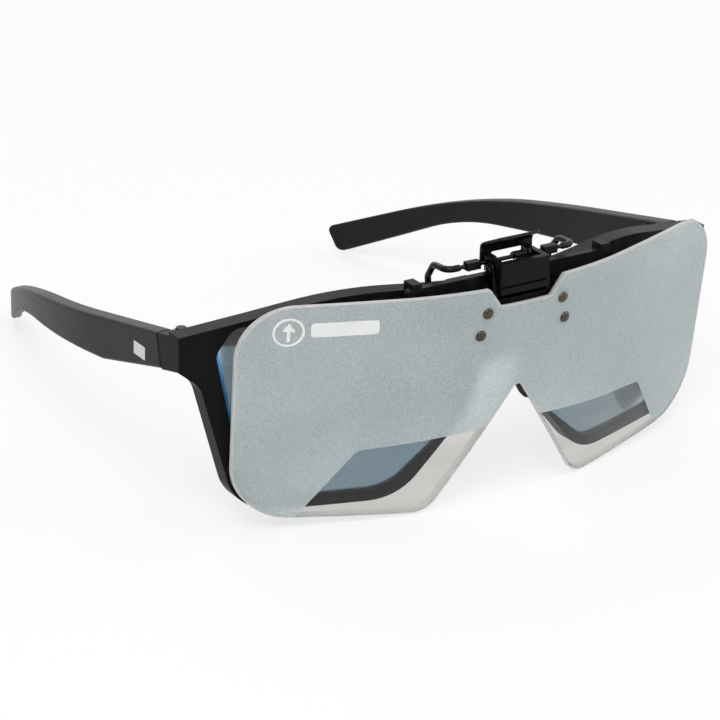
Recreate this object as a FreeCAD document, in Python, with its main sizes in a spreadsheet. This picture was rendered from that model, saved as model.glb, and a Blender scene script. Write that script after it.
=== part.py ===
import FreeCAD, Part
import Sketcher
import math
import os

# Clip-on flip lens gripped on the pair of sunglasses that carries it, in millimetres.
# Every shape is laid out on one datum: x runs to the right seen from the front, y runs back from the
# front of the flip lens and z runs up from the lens's top edge.  The last placement moves the datum so
# that the row's origin lies on the floor, under the middle of the object.
# "right" and "left" are the wearer's: right is the -x side, left is the +x side.

DRIVING = (
    # overall
    ("overall_depth", 160.0),        # front of the flip lens to the ends of the temples
    ("stand_height", 55.55),         # ends of the temples to the top edge of the flip lens
    # plan curve shared by the flip lens, its bracket and the sunglasses' front
    ("wrap_radius", 112.0),          # radius of the middle stretch
    ("wrap_side_radius", 600.0),     # radius of the two side stretches
    ("wrap_bend", 16.4),             # half angle of the middle stretch, degrees
    ("wrap_end", 21.6),              # direction at the ends of the side stretches, degrees
    ("blank_depth", 120.0),          # depth of the prisms that trim a curved blank
    ("blank_height", 140.0),         # height of a curved blank
    # flip lens
    ("lens_tilt", 4.87),
    ("lens_thickness", 2.0),
    ("lens_top_half", 67.2),
    ("lens_bottom_half", 66.0),
    ("lens_side_drop", 0.6),
    ("lens_outer_drop", 53.8),
    ("lens_inner_drop", 55.95),
    ("lens_inner_half", 21.1),
    ("lens_peak_drop", 24.7),
    ("notch_depth", 4.85),
    ("notch_bottom_half", 6.9),
    ("notch_top_half", 10.5),
    ("lens_top_round", 12.8),
    ("lens_bottom_round", 14.3),
    ("lens_inner_round", 7.0),
    ("lens_peak_round", 1.5),
    ("notch_round", 0.8),
    # rivets through the lens and its bracket
    ("rivet_upper_x", 10.5),
    ("rivet_upper_drop", 6.0),
    ("rivet_lower_x", 11.8),
    ("rivet_lower_drop", 11.4),
    ("rivet_shank", 0.8),
    ("rivet_head", 1.35),
    ("rivet_dome", 0.75),
    ("rivet_tail", 1.2),
    ("rivet_tail_height", 0.5),
    ("drill_reach", 10.0),           # how far the drill of a rivet hole reaches each way
    # lens bracket
    ("bracket_thickness", 0.8),
    ("bracket_top_drop", 4.1),
    ("bracket_waist_drop", 8.0),
    ("bracket_bottom_drop", 13.6),
    ("bracket_half", 14.4),
    ("bracket_foot_half", 9.0),
    ("bracket_corner_round", 1.89),
    ("bracket_waist_round", 1.64),
    ("arm_inner", 6.95),
    ("arm_thickness", 0.9),
    ("arm_eye", 1.5),
    ("arm_depth", 0.9),
    ("arm_step", 0.3),               # front of the bracket's plate to the front of an arm
    ("arm_heel_rise", 0.6),
    ("arm_toe_drop", 0.8),
    ("arm_spread", 0.95),            # an arm's half width at its eye, in eye radii
    ("arm_slope", 0.3),              # fall of an arm's top across its eye, in eye radii
    # flip hinge
    ("flip_axis_y", 5.2),
    ("flip_axis_z", 2.6),
    ("pin_radius", 0.6),
    ("pin_head", 1.0),
    ("pin_head_thickness", 0.4),
    ("spring_wire", 0.22),
    ("flip_spring_radius", 1.05),
    ("spring_pitch", 0.66),
    ("spring_turns", 5.0),
    # hinge housing
    ("housing_half", 6.7),
    ("housing_wall", 1.3),
    ("housing_front", 1.8),
    ("housing_face_thickness", 1.4),
    ("housing_top", 4.8),
    ("housing_bottom", 2.6),
    ("housing_back", 8.6),
    ("housing_cheek_bottom", 0.6),
    ("lip_height", 1.5),
    ("lip_proud", 0.3),
    ("groove_height", 0.4),
    ("groove_depth", 0.4),
    ("cheek_gap", 0.1),              # cheek to the top of the bar
    # clip base, front bar and pads
    ("bar_half", 28.7),
    ("bar_front", 6.4),
    ("bar_thickness", 1.8),
    ("bar_top", 1.1),
    ("bar_bottom", 2.5),
    ("jaw_plate_half", 19.0),
    ("jaw_plate_drop", 6.5),
    ("tab_inner", 25.2),
    ("tab_back", 10.0),
    ("tab_top", 2.3),
    ("tab_thickness", 2.4),
    ("base_half", 5.3),
    ("base_top", 0.6),
    ("base_rivet_x", 3.5),
    ("base_rivet_radius", 0.7),
    ("base_rivet_head", 1.15),
    ("base_rivet_head_height", 0.45),
    ("base_rivet_z", -1.0),
    ("pad_inner", 11.0),
    ("pad_outer", 17.0),
    ("pad_thickness", 1.2),
    ("pad_top_gap", 0.3),
    # rear jaw
    ("jaw_axis_y", 7.6),
    ("jaw_axis_z", 3.6),
    ("wire_radius", 0.5),
    ("wire_half", 17.6),
    ("wire_back", 13.0),
    ("wire_back_z", 3.2),
    ("wire_bend", 1.9),
    ("wire_tip_x", 16.6),
    ("wire_tip_drop", 6.2),
    ("wire_knee_drop", 0.6),
    ("finger_margin", 0.6),          # beyond the sleeve, where the sunglasses' rear face is measured
    ("sleeve_wall", 0.28),
    ("sleeve_start", 14.2),
    ("sleeve_cap", 0.6),
    ("sleeve_seat_gap", 0.3),
    ("collar_inner", 8.9),
    ("collar_outer", 12.6),
    ("collar_width", 1.9),
    ("jaw_spring_radius", 0.95),
    # thumb lever
    ("lever_half", 7.2),
    ("lever_front", 9.3),
    ("lever_sheet", 0.7),
    ("lever_foot_z", 2.6),
    ("lever_bend_z", 7.0),
    ("lever_lip_y", 6.0),
    ("lever_lip_z", 8.8),
    ("lever_lip_rise", 0.63),        # thickness of the lip, measured upwards
    ("lever_lip_slant", 0.35),       # thickness of the lip, measured backwards
    ("lever_bend_rise", 0.28),
    ("lever_window_half", 4.4),
    ("lever_window_top", 5.0),
    ("ear_thickness", 0.8),
    ("ear_radius", 1.2),
    # sunglasses' front
    ("host_setback", 9.0),           # front of the flip lens to the front of the sunglasses
    ("frame_thickness", 4.2),
    ("frame_mid_top", -2.5),
    ("frame_brow_x", 38.0),
    ("frame_brow_z", -0.5),
    ("frame_corner_z", -8.9),
    ("frame_step_z", -17.3),
    ("frame_waist_x", 70.4),
    ("frame_waist_z", -21.0),
    ("frame_low_x", 62.4),
    ("frame_low_z", -52.6),
    ("frame_inner_x", 26.0),
    ("frame_nose_x", 9.3),
    ("frame_nose_z", -33.0),
    ("bridge_half", 5.5),
    ("bridge_z", -21.5),
    ("frame_brow_round", 90.0),
    ("frame_waist_round", 6.0),
    ("frame_low_round", 10.0),
    ("frame_inner_round", 15.0),
    ("frame_nose_round", 8.0),
    ("bridge_round", 3.85),
    # opening for one sunglass lens
    ("eye_brow_x", 63.4),
    ("eye_brow_z", -7.3),
    ("eye_temple_x", 67.1),
    ("eye_temple_z", -13.5),
    ("eye_low_x", 60.2),
    ("eye_low_z", -50.1),
    ("eye_inner_x", 28.5),
    ("eye_nose_x", 12.2),
    ("eye_nose_z", -36.0),
    ("eye_bridge_x", 11.5),
    ("eye_bridge_z", -10.5),
    ("eye_middle_x", 34.0),
    ("eye_middle_z", -5.4),
    ("eye_small_round", 3.5),
    ("eye_round", 8.5),
    ("eye_inner_round", 14.0),
    ("eye_groove", 0.8),
    ("sun_lens_front", 1.2),
    ("sun_lens_thickness", 1.8),
    # end pieces, temples and their hinges
    ("temple_outer", 75.0),
    ("temple_thickness", 4.2),
    ("temple_straight", 70.0),
    ("temple_curve", 180.0),
    ("temple_sweep", 31.0),
    ("end_front_y", 28.4),
    ("seam_top_y", 37.6),
    ("seam_top_z", -10.9),
    ("seam_low_y", 35.7),
    ("seam_low_z", -19.2),
    ("end_low_z", -17.3),
    ("seam_gap", 0.25),
    ("kink_y", 64.5),
    ("kink_z", -27.6),
    ("ear_y", 118.0),
    ("ear_top_z", -28.7),
    ("ear_low_z", -35.2),
    ("tip_top_drop", 7.9),           # floor to the upper corner of the temple's tip
    ("tip_slant", 4.2),
    ("ear_round", 60.0),
    ("tip_round", 3.4),
    ("kink_round", 6.0),
    ("hinge_inset", 1.9),
    ("knuckle_radius", 1.6),
    ("knuckle_height", 2.3),
    ("knuckle_gap", 0.15),
    ("hinge_top_z", -11.3),
    ("leaf_thickness", 0.8),
    ("front_leaf_length", 3.8),
    ("temple_leaf_length", 6.2),
    ("leaf_clear", 2.0),
    ("screw_radius", 0.7),
    ("screw_head", 1.25),
    ("screw_head_height", 0.5),
    ("nose_pad_x", 11.4),
    ("nose_pad_z", -30.5),
    ("nose_pad_half_width", 1.9),
    ("nose_pad_half_height", 7.0),
    ("nose_pad_depth", 4.5),
    ("nose_pad_lean", 14.0),
    ("nose_pad_roundness", 0.9),     # corner radius, in half widths
    ("inlay_y", 46.0),
    ("inlay_z", -18.4),
    ("inlay_length", 5.2),
    ("inlay_height", 3.2),
    ("inlay_thickness", 0.5),
    ("inlay_proud", 0.12),
    ("overcut", 1.0),                # how far a cutting tool reaches past what it cuts
    # clearances
    ("slip_fit", 0.02),              # a pin held in its seat
    ("running_fit", 0.05),           # a pin that its eye turns on
    ("side_gap", 0.2),               # beside a moving ear
    ("bed_gap", 0.04),               # between a curved plate and what it lies on
    # where the row's origin lies on the datum, measured from the finished pieces
    ("row_middle", 0.0),
    ("row_floor", 0.0),
)

SIDES = (("right", -1), ("left", 1))
SAME_POINT = 1e-4

doc = FreeCAD.newDocument("clip_on_flip_lenses")
sheet = doc.addObject("Spreadsheet::Sheet", "dim")
nodes = {}


def fill_sheet():
    """Write each driving dimension into the sheet, with its alias beside it."""
    for row, (alias, value) in enumerate(DRIVING, start=1):
        sheet.set(f"A{row}", alias)
        sheet.set(f"B{row}", str(value))
        sheet.setAlias(f"B{row}", alias)
    doc.recompute()


def val(expression):
    """Value of an expression on the sheet, as a float."""
    result = sheet.evalExpression(str(expression))
    return float(getattr(result, "Value", result))


def dim(alias):
    return f"dim.{alias}"


def bind(target, path, expression):
    target.setExpression(path, str(expression))


def add(*terms):
    return " + ".join(f"({term})" for term in terms)


def less(first, second):
    return f"({first}) - ({second})"


def signed(side, expression):
    """An x expression, mirrored for the wearer's right side."""
    return f"({expression})" if side > 0 else f"0 - ({expression})"


# ---------------------------------------------------------------- sketches and solids

def arc_geometry(start, end, radius, turn):
    """Minor arc of a circle from start to end; turn is +1 for anticlockwise."""
    middle = (start + end) * 0.5
    chord = end - start
    height = math.sqrt(max(radius ** 2 - (chord.Length / 2) ** 2, 0.0))
    normal = FreeCAD.Vector(-chord.y, chord.x, 0).normalize() * turn
    centre = middle + normal * height
    first, last = (start, end) if turn > 0 else (end, start)
    angle_a = math.atan2(first.y - centre.y, first.x - centre.x)
    angle_b = math.atan2(last.y - centre.y, last.x - centre.x)
    if angle_b < angle_a:
        angle_b += 2 * math.pi
    circle = Part.Circle(centre, FreeCAD.Vector(0, 0, 1), radius)
    return Part.ArcOfCircle(circle, angle_a, angle_b)


def attach(sketch, body, plane, offset):
    support = [item for item in body.Origin.OriginFeatures if item.Role == plane][0]
    sketch.AttachmentSupport = [(support, "")]
    sketch.MapMode = "FlatFace"
    if offset is not None:
        bind(sketch, "AttachmentOffset.Base.z", offset)


def loop_sketch(body, plane, corners, arcs=None, offset=None):
    """Closed, fully constrained outline.

    corners holds pairs of expressions; arcs maps a side's number to (radius expression, turn).
    """
    arcs = arcs or {}
    sketch = body.newObject("Sketcher::SketchObject", body.Name + "_sketch")
    attach(sketch, body, plane, offset)
    points = [FreeCAD.Vector(val(x), val(y), 0) for x, y in corners]
    count = len(points)
    for index, start in enumerate(points):
        end = points[(index + 1) % count]
        if index in arcs:
            radius, turn = arcs[index]
            sketch.addGeometry(arc_geometry(start, end, val(radius), turn))
        else:
            sketch.addGeometry(Part.LineSegment(start, end))

    def vertex(index, at_start):
        """Sketcher's number for one end of a side; a clockwise arc is stored end first."""
        flipped = index in arcs and arcs[index][1] < 0
        return 1 if at_start != flipped else 2

    for index in range(count):
        following = (index + 1) % count
        sketch.addConstraint(Sketcher.Constraint(
            "Coincident", index, vertex(index, False), following, vertex(following, True)))
    for index, (x, y) in enumerate(corners):
        for kind, expression, value in (("DistanceX", x, points[index].x), ("DistanceY", y, points[index].y)):
            number = sketch.addConstraint(Sketcher.Constraint(kind, index, vertex(index, True), value))
            bind(sketch, f"Constraints[{number}]", expression)
        if index in arcs:
            radius = arcs[index][0]
            number = sketch.addConstraint(Sketcher.Constraint("Radius", index, val(radius)))
            bind(sketch, f"Constraints[{number}]", radius)
    return sketch


def pad(body, sketch, length, side_type="One side", reverse=False):
    feature = body.newObject("PartDesign::Pad", body.Name + "_pad")
    feature.Profile = sketch
    feature.SideType = side_type
    feature.Reversed = reverse
    bind(feature, "Length", length)
    doc.recompute()
    return feature


def upright_edges(feature, plane, corner):
    """Names of the edges that stand on one corner of a prism's outline."""
    axes = {"XY_Plane": ("x", "y", "z"), "XZ_Plane": ("x", "z", "y"), "YZ_Plane": ("y", "z", "x")}[plane]
    target = [val(expression) for expression in corner]
    names = []
    for number, edge in enumerate(feature.Shape.Edges, start=1):
        ends = [vertex.Point for vertex in edge.Vertexes]
        if len(ends) != 2:
            continue
        offsets = [getattr(point, axis) - at for point in ends for axis, at in zip(axes, target)]
        upright = abs(getattr(ends[0], axes[2]) - getattr(ends[1], axes[2])) > SAME_POINT
        if upright and max(abs(offset) for offset in offsets) < SAME_POINT:
            names.append(f"Edge{number}")
    return names


def prism(name, plane, corners, length, rounds=(), arcs=None, offset=None, side_type="One side",
          reverse=False):
    """Body with one padded outline; rounds lists (corner numbers, radius expression)."""
    body = doc.addObject("PartDesign::Body", name)
    sketch = loop_sketch(body, plane, corners, arcs, offset)
    feature = pad(body, sketch, length, side_type, reverse)
    for numbers, radius in rounds:
        edges = []
        for number in numbers:
            edges += upright_edges(feature, plane, corners[number])
        fillet = body.newObject("PartDesign::Fillet", name + "_round")
        fillet.Base = (feature, edges)
        bind(fillet, "Radius", radius)
        doc.recompute()
        feature = fillet
    body.Tip = feature
    return body


def move(target, x="0", y="0", z="0"):
    """Bind where an object's own origin lies."""
    for axis, expression in zip("xyz", (x, y, z)):
        bind(target, f"Placement.Base.{axis}", expression)
    return target


def box(name, x, y, z):
    """Block between pairs of expressions (low, high) on each axis."""
    block = doc.addObject("Part::Box", name)
    for path, (low, high) in zip(("Length", "Width", "Height"), (x, y, z)):
        bind(block, path, less(high, low))
    return move(block, x[0], y[0], z[0])


def side_box(name, side, x, y, z):
    """Block whose x range is given for the wearer's left and mirrored for the right."""
    low, high = x if side > 0 else (signed(side, x[1]), signed(side, x[0]))
    return box(name, (low, high), y, z)


TURNS = {"x": ((0, 1, 0), 90), "y": ((1, 0, 0), -90), "z": ((0, 0, 1), 0)}


def rod(name, axis, radius, start, length, at):
    """Round bar along an axis; at holds its other two coordinates in x, y, z order."""
    bar = doc.addObject("Part::Cylinder", name)
    bind(bar, "Radius", radius)
    bind(bar, "Height", length)
    direction, angle = TURNS[axis]
    bar.Placement.Rotation = FreeCAD.Rotation(FreeCAD.Vector(*direction), angle)
    position = list(at)
    position.insert("xyz".index(axis), start)
    return move(bar, *position)


def cut(name, base, tool):
    result = doc.addObject("Part::Cut", name)
    result.Base = base
    result.Tool = tool
    return result


def common(name, base, tool):
    result = doc.addObject("Part::Common", name)
    result.Base = base
    result.Tool = tool
    return result


def fuse(name, *shapes):
    result = doc.addObject("Part::MultiFuse", name)
    result.Shapes = list(shapes)
    result.Refine = True
    return result


def group(name, *shapes):
    """Separate solids kept together as one node."""
    result = doc.addObject("Part::Compound", name)
    result.Links = list(shapes)
    return result


def node(name, target, tilted=False, setback="0"):
    """Register a finished piece: its label, and its place in the row frame."""
    target.Label = name
    if tilted:
        target.Placement.Rotation = FreeCAD.Rotation(FreeCAD.Vector(1, 0, 0), val("dim.lens_tilt"))
        bind(target, "Placement.Rotation.Angle", "dim.lens_tilt")
    move(target, "0", less(setback, "dim.row_middle"), "0 - dim.row_floor")
    nodes[name] = target
    return target


# ---------------------------------------------------------------- the shared plan curve

def middle_point(depth, angle):
    """Point of the middle stretch, depth behind the front curve."""
    radius = less(dim("wrap_radius"), depth)
    return f"({radius}) * sin({angle})", f"dim.wrap_radius - ({radius}) * cos({angle})"


def side_point(depth, angle, side):
    """Point of a side stretch, depth behind the front curve."""
    radius = less(dim("wrap_side_radius"), depth)
    jump = "(dim.wrap_radius - dim.wrap_side_radius)"
    x = f"{jump} * sin(dim.wrap_bend) + ({radius}) * sin({angle})"
    y = f"dim.wrap_radius - {jump} * cos(dim.wrap_bend) - ({radius}) * cos({angle})"
    return signed(side, x), y


def curved_blank(name, front, back):
    """Upright sheet that follows the plan curve between two depths."""
    bend = dim("wrap_bend")
    end = dim("wrap_end")
    minus_bend = f"(0 - {bend})"
    corners = [
        side_point(front, end, -1), middle_point(front, minus_bend), middle_point(front, bend),
        side_point(front, end, 1), side_point(back, end, 1), middle_point(back, bend),
        middle_point(back, minus_bend), side_point(back, end, -1),
    ]
    side_front = less(dim("wrap_side_radius"), front)
    side_back = less(dim("wrap_side_radius"), back)
    arcs = {
        0: (side_front, 1), 1: (less(dim("wrap_radius"), front), 1), 2: (side_front, 1),
        4: (side_back, -1), 5: (less(dim("wrap_radius"), back), -1), 6: (side_back, -1),
    }
    return prism(name, "XY_Plane", corners, dim("blank_height"), arcs=arcs, side_type="Symmetric")


def trimmed_sheet(name, front, back, outline):
    return common(name, curved_blank(name + "_blank", front, back), outline)


def radial_rod(name, side, x, drop, radius, front, back):
    """Bar square to the plan curve at x, between two depths behind its front."""
    bar = rod(name, "y", radius, front, less(back, front), ("0", f"0 - {drop}"))
    turn_about_wrap_centre(bar, wrap_angle(side, x), front, drop)
    return bar


def wrap_angle(side, x):
    """Direction of the plan curve's normal at x, mirrored for the right side."""
    return f"{side} * asin(({x}) / dim.wrap_radius)"


def turn_about_wrap_centre(target, angle, depth, drop):
    """Swing a piece built at x = 0 round the centre of the middle stretch."""
    swing = FreeCAD.Rotation(FreeCAD.Vector(0, 0, 1), val(angle))
    target.Placement.Rotation = swing.multiply(target.Placement.Rotation)
    reach = less(dim("wrap_radius"), depth)
    move(target, f"({reach}) * sin({angle})", f"dim.wrap_radius - ({reach}) * cos({angle})",
         f"0 - ({drop})")


# ---------------------------------------------------------------- flip lens, bracket and rivets

RIVETS = (
    ("upper", dim("rivet_upper_x"), dim("rivet_upper_drop")),
    ("lower", dim("rivet_lower_x"), dim("rivet_lower_drop")),
)
BRACKET_FRONT = add(dim("lens_thickness"), dim("bed_gap"))
BRACKET_BACK = add(BRACKET_FRONT, dim("bracket_thickness"))


def rivet_holes(name):
    """The four clearance holes, drilled through a whole blank."""
    bars = []
    for side_name, side in SIDES:
        for row, x, drop in RIVETS:
            radius = add(dim("rivet_shank"), dim("running_fit"))
            bars.append(radial_rod(f"{name}_{row}_{side_name}", side, x, drop, radius,
                                   "0 - dim.drill_reach", dim("drill_reach")))
    return fuse(name, *bars)


def flip_lens():
    """One curved sheet for both eyes, with a nose peak below and a notch for the hinge above."""
    half = [
        ("dim.lens_inner_half", "0 - dim.lens_inner_drop"),
        ("dim.lens_bottom_half", "0 - dim.lens_outer_drop"),
        ("dim.lens_top_half", "0 - dim.lens_side_drop"),
        ("dim.notch_top_half", "0"),
        ("dim.notch_bottom_half", "0 - dim.notch_depth"),
    ]
    mirrored = [(f"0 - {x}", z) for x, z in reversed(half)]
    corners = [("0", "0 - dim.lens_peak_drop")] + half + mirrored
    rounds = (
        ((0,), dim("lens_peak_round")),
        ((1, 10), dim("lens_inner_round")),
        ((2, 9), dim("lens_bottom_round")),
        ((3, 8), dim("lens_top_round")),
        ((4, 5, 6, 7), dim("notch_round")),
    )
    outline = prism("flip_lens_outline", "XZ_Plane", corners, dim("blank_depth"), rounds,
                    side_type="Symmetric")
    sheet_shape = trimmed_sheet("flip_lens_sheet", "0", dim("lens_thickness"), outline)
    node("flip_lens", cut("flip_lens_drilled", sheet_shape, rivet_holes("lens_holes")), tilted=True)


def axis_in_lens():
    """The flip axis in the lens's own tilted frame."""
    y = "dim.flip_axis_y * cos(dim.lens_tilt) + dim.flip_axis_z * sin(dim.lens_tilt)"
    z = "dim.flip_axis_z * cos(dim.lens_tilt) - dim.flip_axis_y * sin(dim.lens_tilt)"
    return y, z


def bracket_arm(side_name, side):
    """Side arm that climbs from the bracket's plate to its eye on the flip pin."""
    eye_y, eye_z = axis_in_lens()
    front = add(BRACKET_FRONT, dim("arm_step"))
    back = add(front, dim("arm_depth"))
    half_width = "dim.arm_eye * dim.arm_spread"
    fall = "dim.arm_eye * dim.arm_slope"
    corners = [
        (front, "0 - dim.bracket_waist_drop"),
        (back, "0 - dim.bracket_waist_drop"),
        (back, "0 - dim.bracket_top_drop - dim.arm_heel_rise"),
        (add(eye_y, half_width), less(eye_z, fall)),
        (eye_y, eye_z),
        (less(eye_y, half_width), add(eye_z, fall)),
        (front, "0 - dim.bracket_top_drop + dim.arm_toe_drop"),
    ]
    start = "dim.arm_inner" if side > 0 else "0 - dim.arm_inner - dim.arm_thickness"
    leg = prism(f"arm_leg_{side_name}", "YZ_Plane", corners, dim("arm_thickness"), offset=start)
    eye = rod(f"arm_eye_{side_name}", "x", dim("arm_eye"), start, dim("arm_thickness"), axis_in_lens())
    return leg, eye


def lens_bracket():
    """Sprung plate behind the lens, with two feet for the rivets and two arms to the pin."""
    half = [
        ("dim.bracket_foot_half", "0 - dim.bracket_waist_drop"),
        ("dim.bracket_foot_half", "0 - dim.bracket_bottom_drop"),
        ("dim.bracket_half", "0 - dim.bracket_bottom_drop"),
        ("dim.bracket_half", "0 - dim.bracket_top_drop"),
    ]
    corners = half + [(f"0 - {x}", z) for x, z in reversed(half)]
    outline = prism("bracket_outline", "XZ_Plane", corners, dim("blank_depth"),
                    (((1, 2, 5, 6), dim("bracket_corner_round")), ((3, 4), dim("bracket_waist_round"))),
                    side_type="Symmetric")
    plate = trimmed_sheet("bracket_plate", BRACKET_FRONT, BRACKET_BACK, outline)
    pieces = [plate]
    for side_name, side in SIDES:
        pieces += bracket_arm(side_name, side)
    drilled = cut("bracket_drilled", fuse("bracket_blank", *pieces), rivet_holes("bracket_holes"))
    bore = rod("bracket_bore", "x", add(dim("pin_radius"), dim("running_fit")), "0 - dim.housing_half * 2",
               "dim.housing_half * 4", axis_in_lens())
    node("lens_bracket", cut("bracket_finished", drilled, bore), tilted=True)


def rivet(name, side, x, drop):
    """Domed rivet, clinched behind the bracket; turned about y at the origin, then swung into place."""
    body = doc.addObject("PartDesign::Body", name)
    head = less("0", dim("rivet_dome"))
    seat = add(BRACKET_BACK, "dim.bed_gap / 2")
    tail = add(seat, dim("rivet_tail_height"))
    corners = [
        ("0", head), ("dim.rivet_head", "0"), ("dim.rivet_shank", "0"),
        ("dim.rivet_shank", seat), ("dim.rivet_tail", seat),
        ("dim.rivet_tail", tail), ("0", tail),
    ]
    dome = "(dim.rivet_head ^ 2 + dim.rivet_dome ^ 2) / (2 * dim.rivet_dome)"
    sketch = loop_sketch(body, "XY_Plane", corners, {0: (dome, 1)})
    turned = body.newObject("PartDesign::Revolution", name + "_turned")
    turned.Profile = sketch
    turned.ReferenceAxis = (sketch, ["V_Axis"])
    turned.Angle = 360
    doc.recompute()
    turn_about_wrap_centre(body, wrap_angle(side, x), "0", drop)
    return body


def lens_rivets():
    rivets = []
    for side_name, side in SIDES:
        for row, x, drop in RIVETS:
            rivets.append(rivet(f"rivet_{row}_{side_name}", side, x, drop))
    node("lens_rivets", group("rivets", *rivets), tilted=True)


# ---------------------------------------------------------------- hinge housing and its pin

FLIP_AXIS = (dim("flip_axis_y"), dim("flip_axis_z"))
JAW_AXIS = (dim("jaw_axis_y"), dim("jaw_axis_z"))


def through_rod(name, radius, half, at):
    return rod(name, "x", radius, f"0 - ({half})", f"2 * ({half})", at)


def hinge_housing():
    """Open-backed box: a grooved front face over a lip, with a cheek each side for the two axes."""
    half = dim("housing_half")
    across = (f"0 - {half}", half)
    face_back = add(dim("housing_front"), dim("housing_face_thickness"))
    bottom = "0 - dim.housing_bottom"
    lip_top = add(bottom, dim("lip_height"))
    pieces = [
        box("housing_face", across, (dim("housing_front"), face_back), (bottom, dim("housing_top"))),
        box("housing_lip", across, (less(dim("housing_front"), dim("lip_proud")), face_back),
            (bottom, lip_top)),
    ]
    cheek = [
        (dim("housing_front"), "0 - dim.housing_cheek_bottom"),
        (less(dim("bar_front"), dim("side_gap")), "0 - dim.housing_cheek_bottom"),
        (less(dim("bar_front"), dim("side_gap")), add(dim("bar_top"), dim("cheek_gap"))),
        (dim("housing_back"), add(dim("bar_top"), dim("cheek_gap"))),
        (dim("housing_back"), dim("housing_top")),
        (dim("housing_front"), dim("housing_top")),
    ]
    for side_name, side in SIDES:
        start = less(half, dim("housing_wall")) if side > 0 else f"0 - {half}"
        pieces.append(prism(f"housing_cheek_{side_name}", "YZ_Plane", cheek, dim("housing_wall"),
                            offset=start))
    shell = fuse("housing_shell", *pieces)
    groove = box("housing_groove", (f"0 - {half} * 2", f"{half} * 2"),
                 (less(dim("housing_front"), dim("overcut")), add(dim("housing_front"), dim("groove_depth"))),
                 (lip_top, add(lip_top, dim("groove_height"))))
    reach = f"{half} * 2"
    pin_bore = through_rod("housing_pin_bore", add(dim("pin_radius"), dim("slip_fit")), reach, FLIP_AXIS)
    wire_bore = through_rod("housing_wire_bore", add(dim("wire_radius"), dim("running_fit")), reach, JAW_AXIS)
    node("hinge_housing", cut("housing_finished", shell, fuse("housing_cuts", groove, pin_bore, wire_bore)))


def hinge_pin():
    """Pin through both cheeks and both bracket eyes, headed outside the arms."""
    reach = add(dim("arm_inner"), dim("arm_thickness"), dim("side_gap"))
    shaft = through_rod("pin_shaft", dim("pin_radius"), add(reach, dim("pin_head_thickness")), FLIP_AXIS)
    heads = []
    for side_name, side in SIDES:
        start = reach if side > 0 else f"0 - ({reach}) - dim.pin_head_thickness"
        heads.append(rod(f"pin_head_{side_name}", "x", dim("pin_head"), start,
                         dim("pin_head_thickness"), FLIP_AXIS))
    node("hinge_pin", fuse("pin_whole", shaft, *heads))


def coil(name, radius, start_x, axis_y, axis_z):
    """Round-wire coil along x, swept round a helix."""
    pitch = val("dim.spring_pitch")
    helix = Part.makeHelix(pitch, pitch * val("dim.spring_turns"), val(radius))
    profile = Part.Wire([Part.makeCircle(val("dim.spring_wire"), FreeCAD.Vector(val(radius), 0, 0),
                                         FreeCAD.Vector(0, 1, 0))])
    spring = doc.addObject("Part::Feature", name + "_coil")
    spring.Shape = Part.Wire(helix).makePipeShell([profile], True, True)
    spring.Placement.Rotation = FreeCAD.Rotation(FreeCAD.Vector(0, 1, 0), 90)
    move(spring, start_x, axis_y, axis_z)
    node(name, group(name + "_group", spring))


def springs():
    """Friction coil on the flip pin, and the return coil of the rear jaw beside it."""
    length = "dim.spring_pitch * dim.spring_turns"
    coil("flip_spring", dim("flip_spring_radius"), f"0 - {length} - dim.spring_wire * 3", *FLIP_AXIS)
    coil("jaw_spring", dim("jaw_spring_radius"), "dim.spring_wire * 3", *JAW_AXIS)


# ---------------------------------------------------------------- base, front bar and pads

BAR_BACK = add(dim("bar_front"), dim("bar_thickness"))
BASE_FRONT = add(dim("housing_front"), dim("housing_face_thickness"))


def base_rivet_rods(name, radius, front, back):
    rods = []
    for side_name, side in SIDES:
        rods.append(rod(f"{name}_{side_name}", "y", radius, front, less(back, front),
                        (signed(side, dim("base_rivet_x")), dim("base_rivet_z"))))
    return rods


def clip_base():
    """Block that joins the housing's face to the front bar."""
    block = box("base_block", ("0 - dim.base_half", dim("base_half")), (BASE_FRONT, dim("bar_front")),
                ("0 - dim.bar_bottom", dim("base_top")))
    holes = base_rivet_rods("base_hole", add(dim("base_rivet_radius"), dim("slip_fit")),
                            less(BASE_FRONT, "1"), add(BAR_BACK, "1"))
    node("clip_base", cut("base_finished", block, fuse("base_holes", *holes)))


def front_bar():
    """Long bar across the front of the sunglasses, deeper in the middle, with turned-up end tabs."""
    half = [
        ("dim.jaw_plate_half", "0 - dim.jaw_plate_drop"),
        ("dim.jaw_plate_half", "0 - dim.bar_bottom"),
        ("dim.bar_half", "0 - dim.bar_bottom"),
        ("dim.bar_half", dim("bar_top")),
    ]
    corners = half + [(f"0 - {x}", z) for x, z in reversed(half)]
    strip = prism("bar_strip", "XZ_Plane", corners, dim("bar_thickness"), (((2, 3, 4, 5), "1"),),
                  offset=f"0 - ({BAR_BACK})")
    pieces = [strip]
    for side_name, side in SIDES:
        pieces.append(side_box(f"bar_tab_{side_name}", side, (dim("tab_inner"), less(dim("bar_half"), "1")),
                               (dim("bar_front"), dim("tab_back")),
                               (less(dim("tab_top"), dim("tab_thickness")), dim("tab_top"))))
    holes = base_rivet_rods("bar_hole", add(dim("base_rivet_radius"), dim("slip_fit")),
                            less(BASE_FRONT, "1"), add(BAR_BACK, "1"))
    node("front_bar", cut("bar_finished", fuse("bar_whole", *pieces), fuse("bar_holes", *holes)))


def base_rivets():
    """Two rivets that hold the bar on the base, headed behind the bar."""
    rivets = []
    head_back = add(BAR_BACK, dim("base_rivet_head_height"))
    shanks = base_rivet_rods("base_shank", dim("base_rivet_radius"), BASE_FRONT, BAR_BACK)
    heads = base_rivet_rods("base_head", dim("base_rivet_head"), BAR_BACK, head_back)
    for (side_name, _), shank, head in zip(SIDES, shanks, heads):
        rivets.append(fuse(f"base_rivet_{side_name}", shank, head))
    node("base_rivets", group("base_rivet_pair", *rivets))


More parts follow.
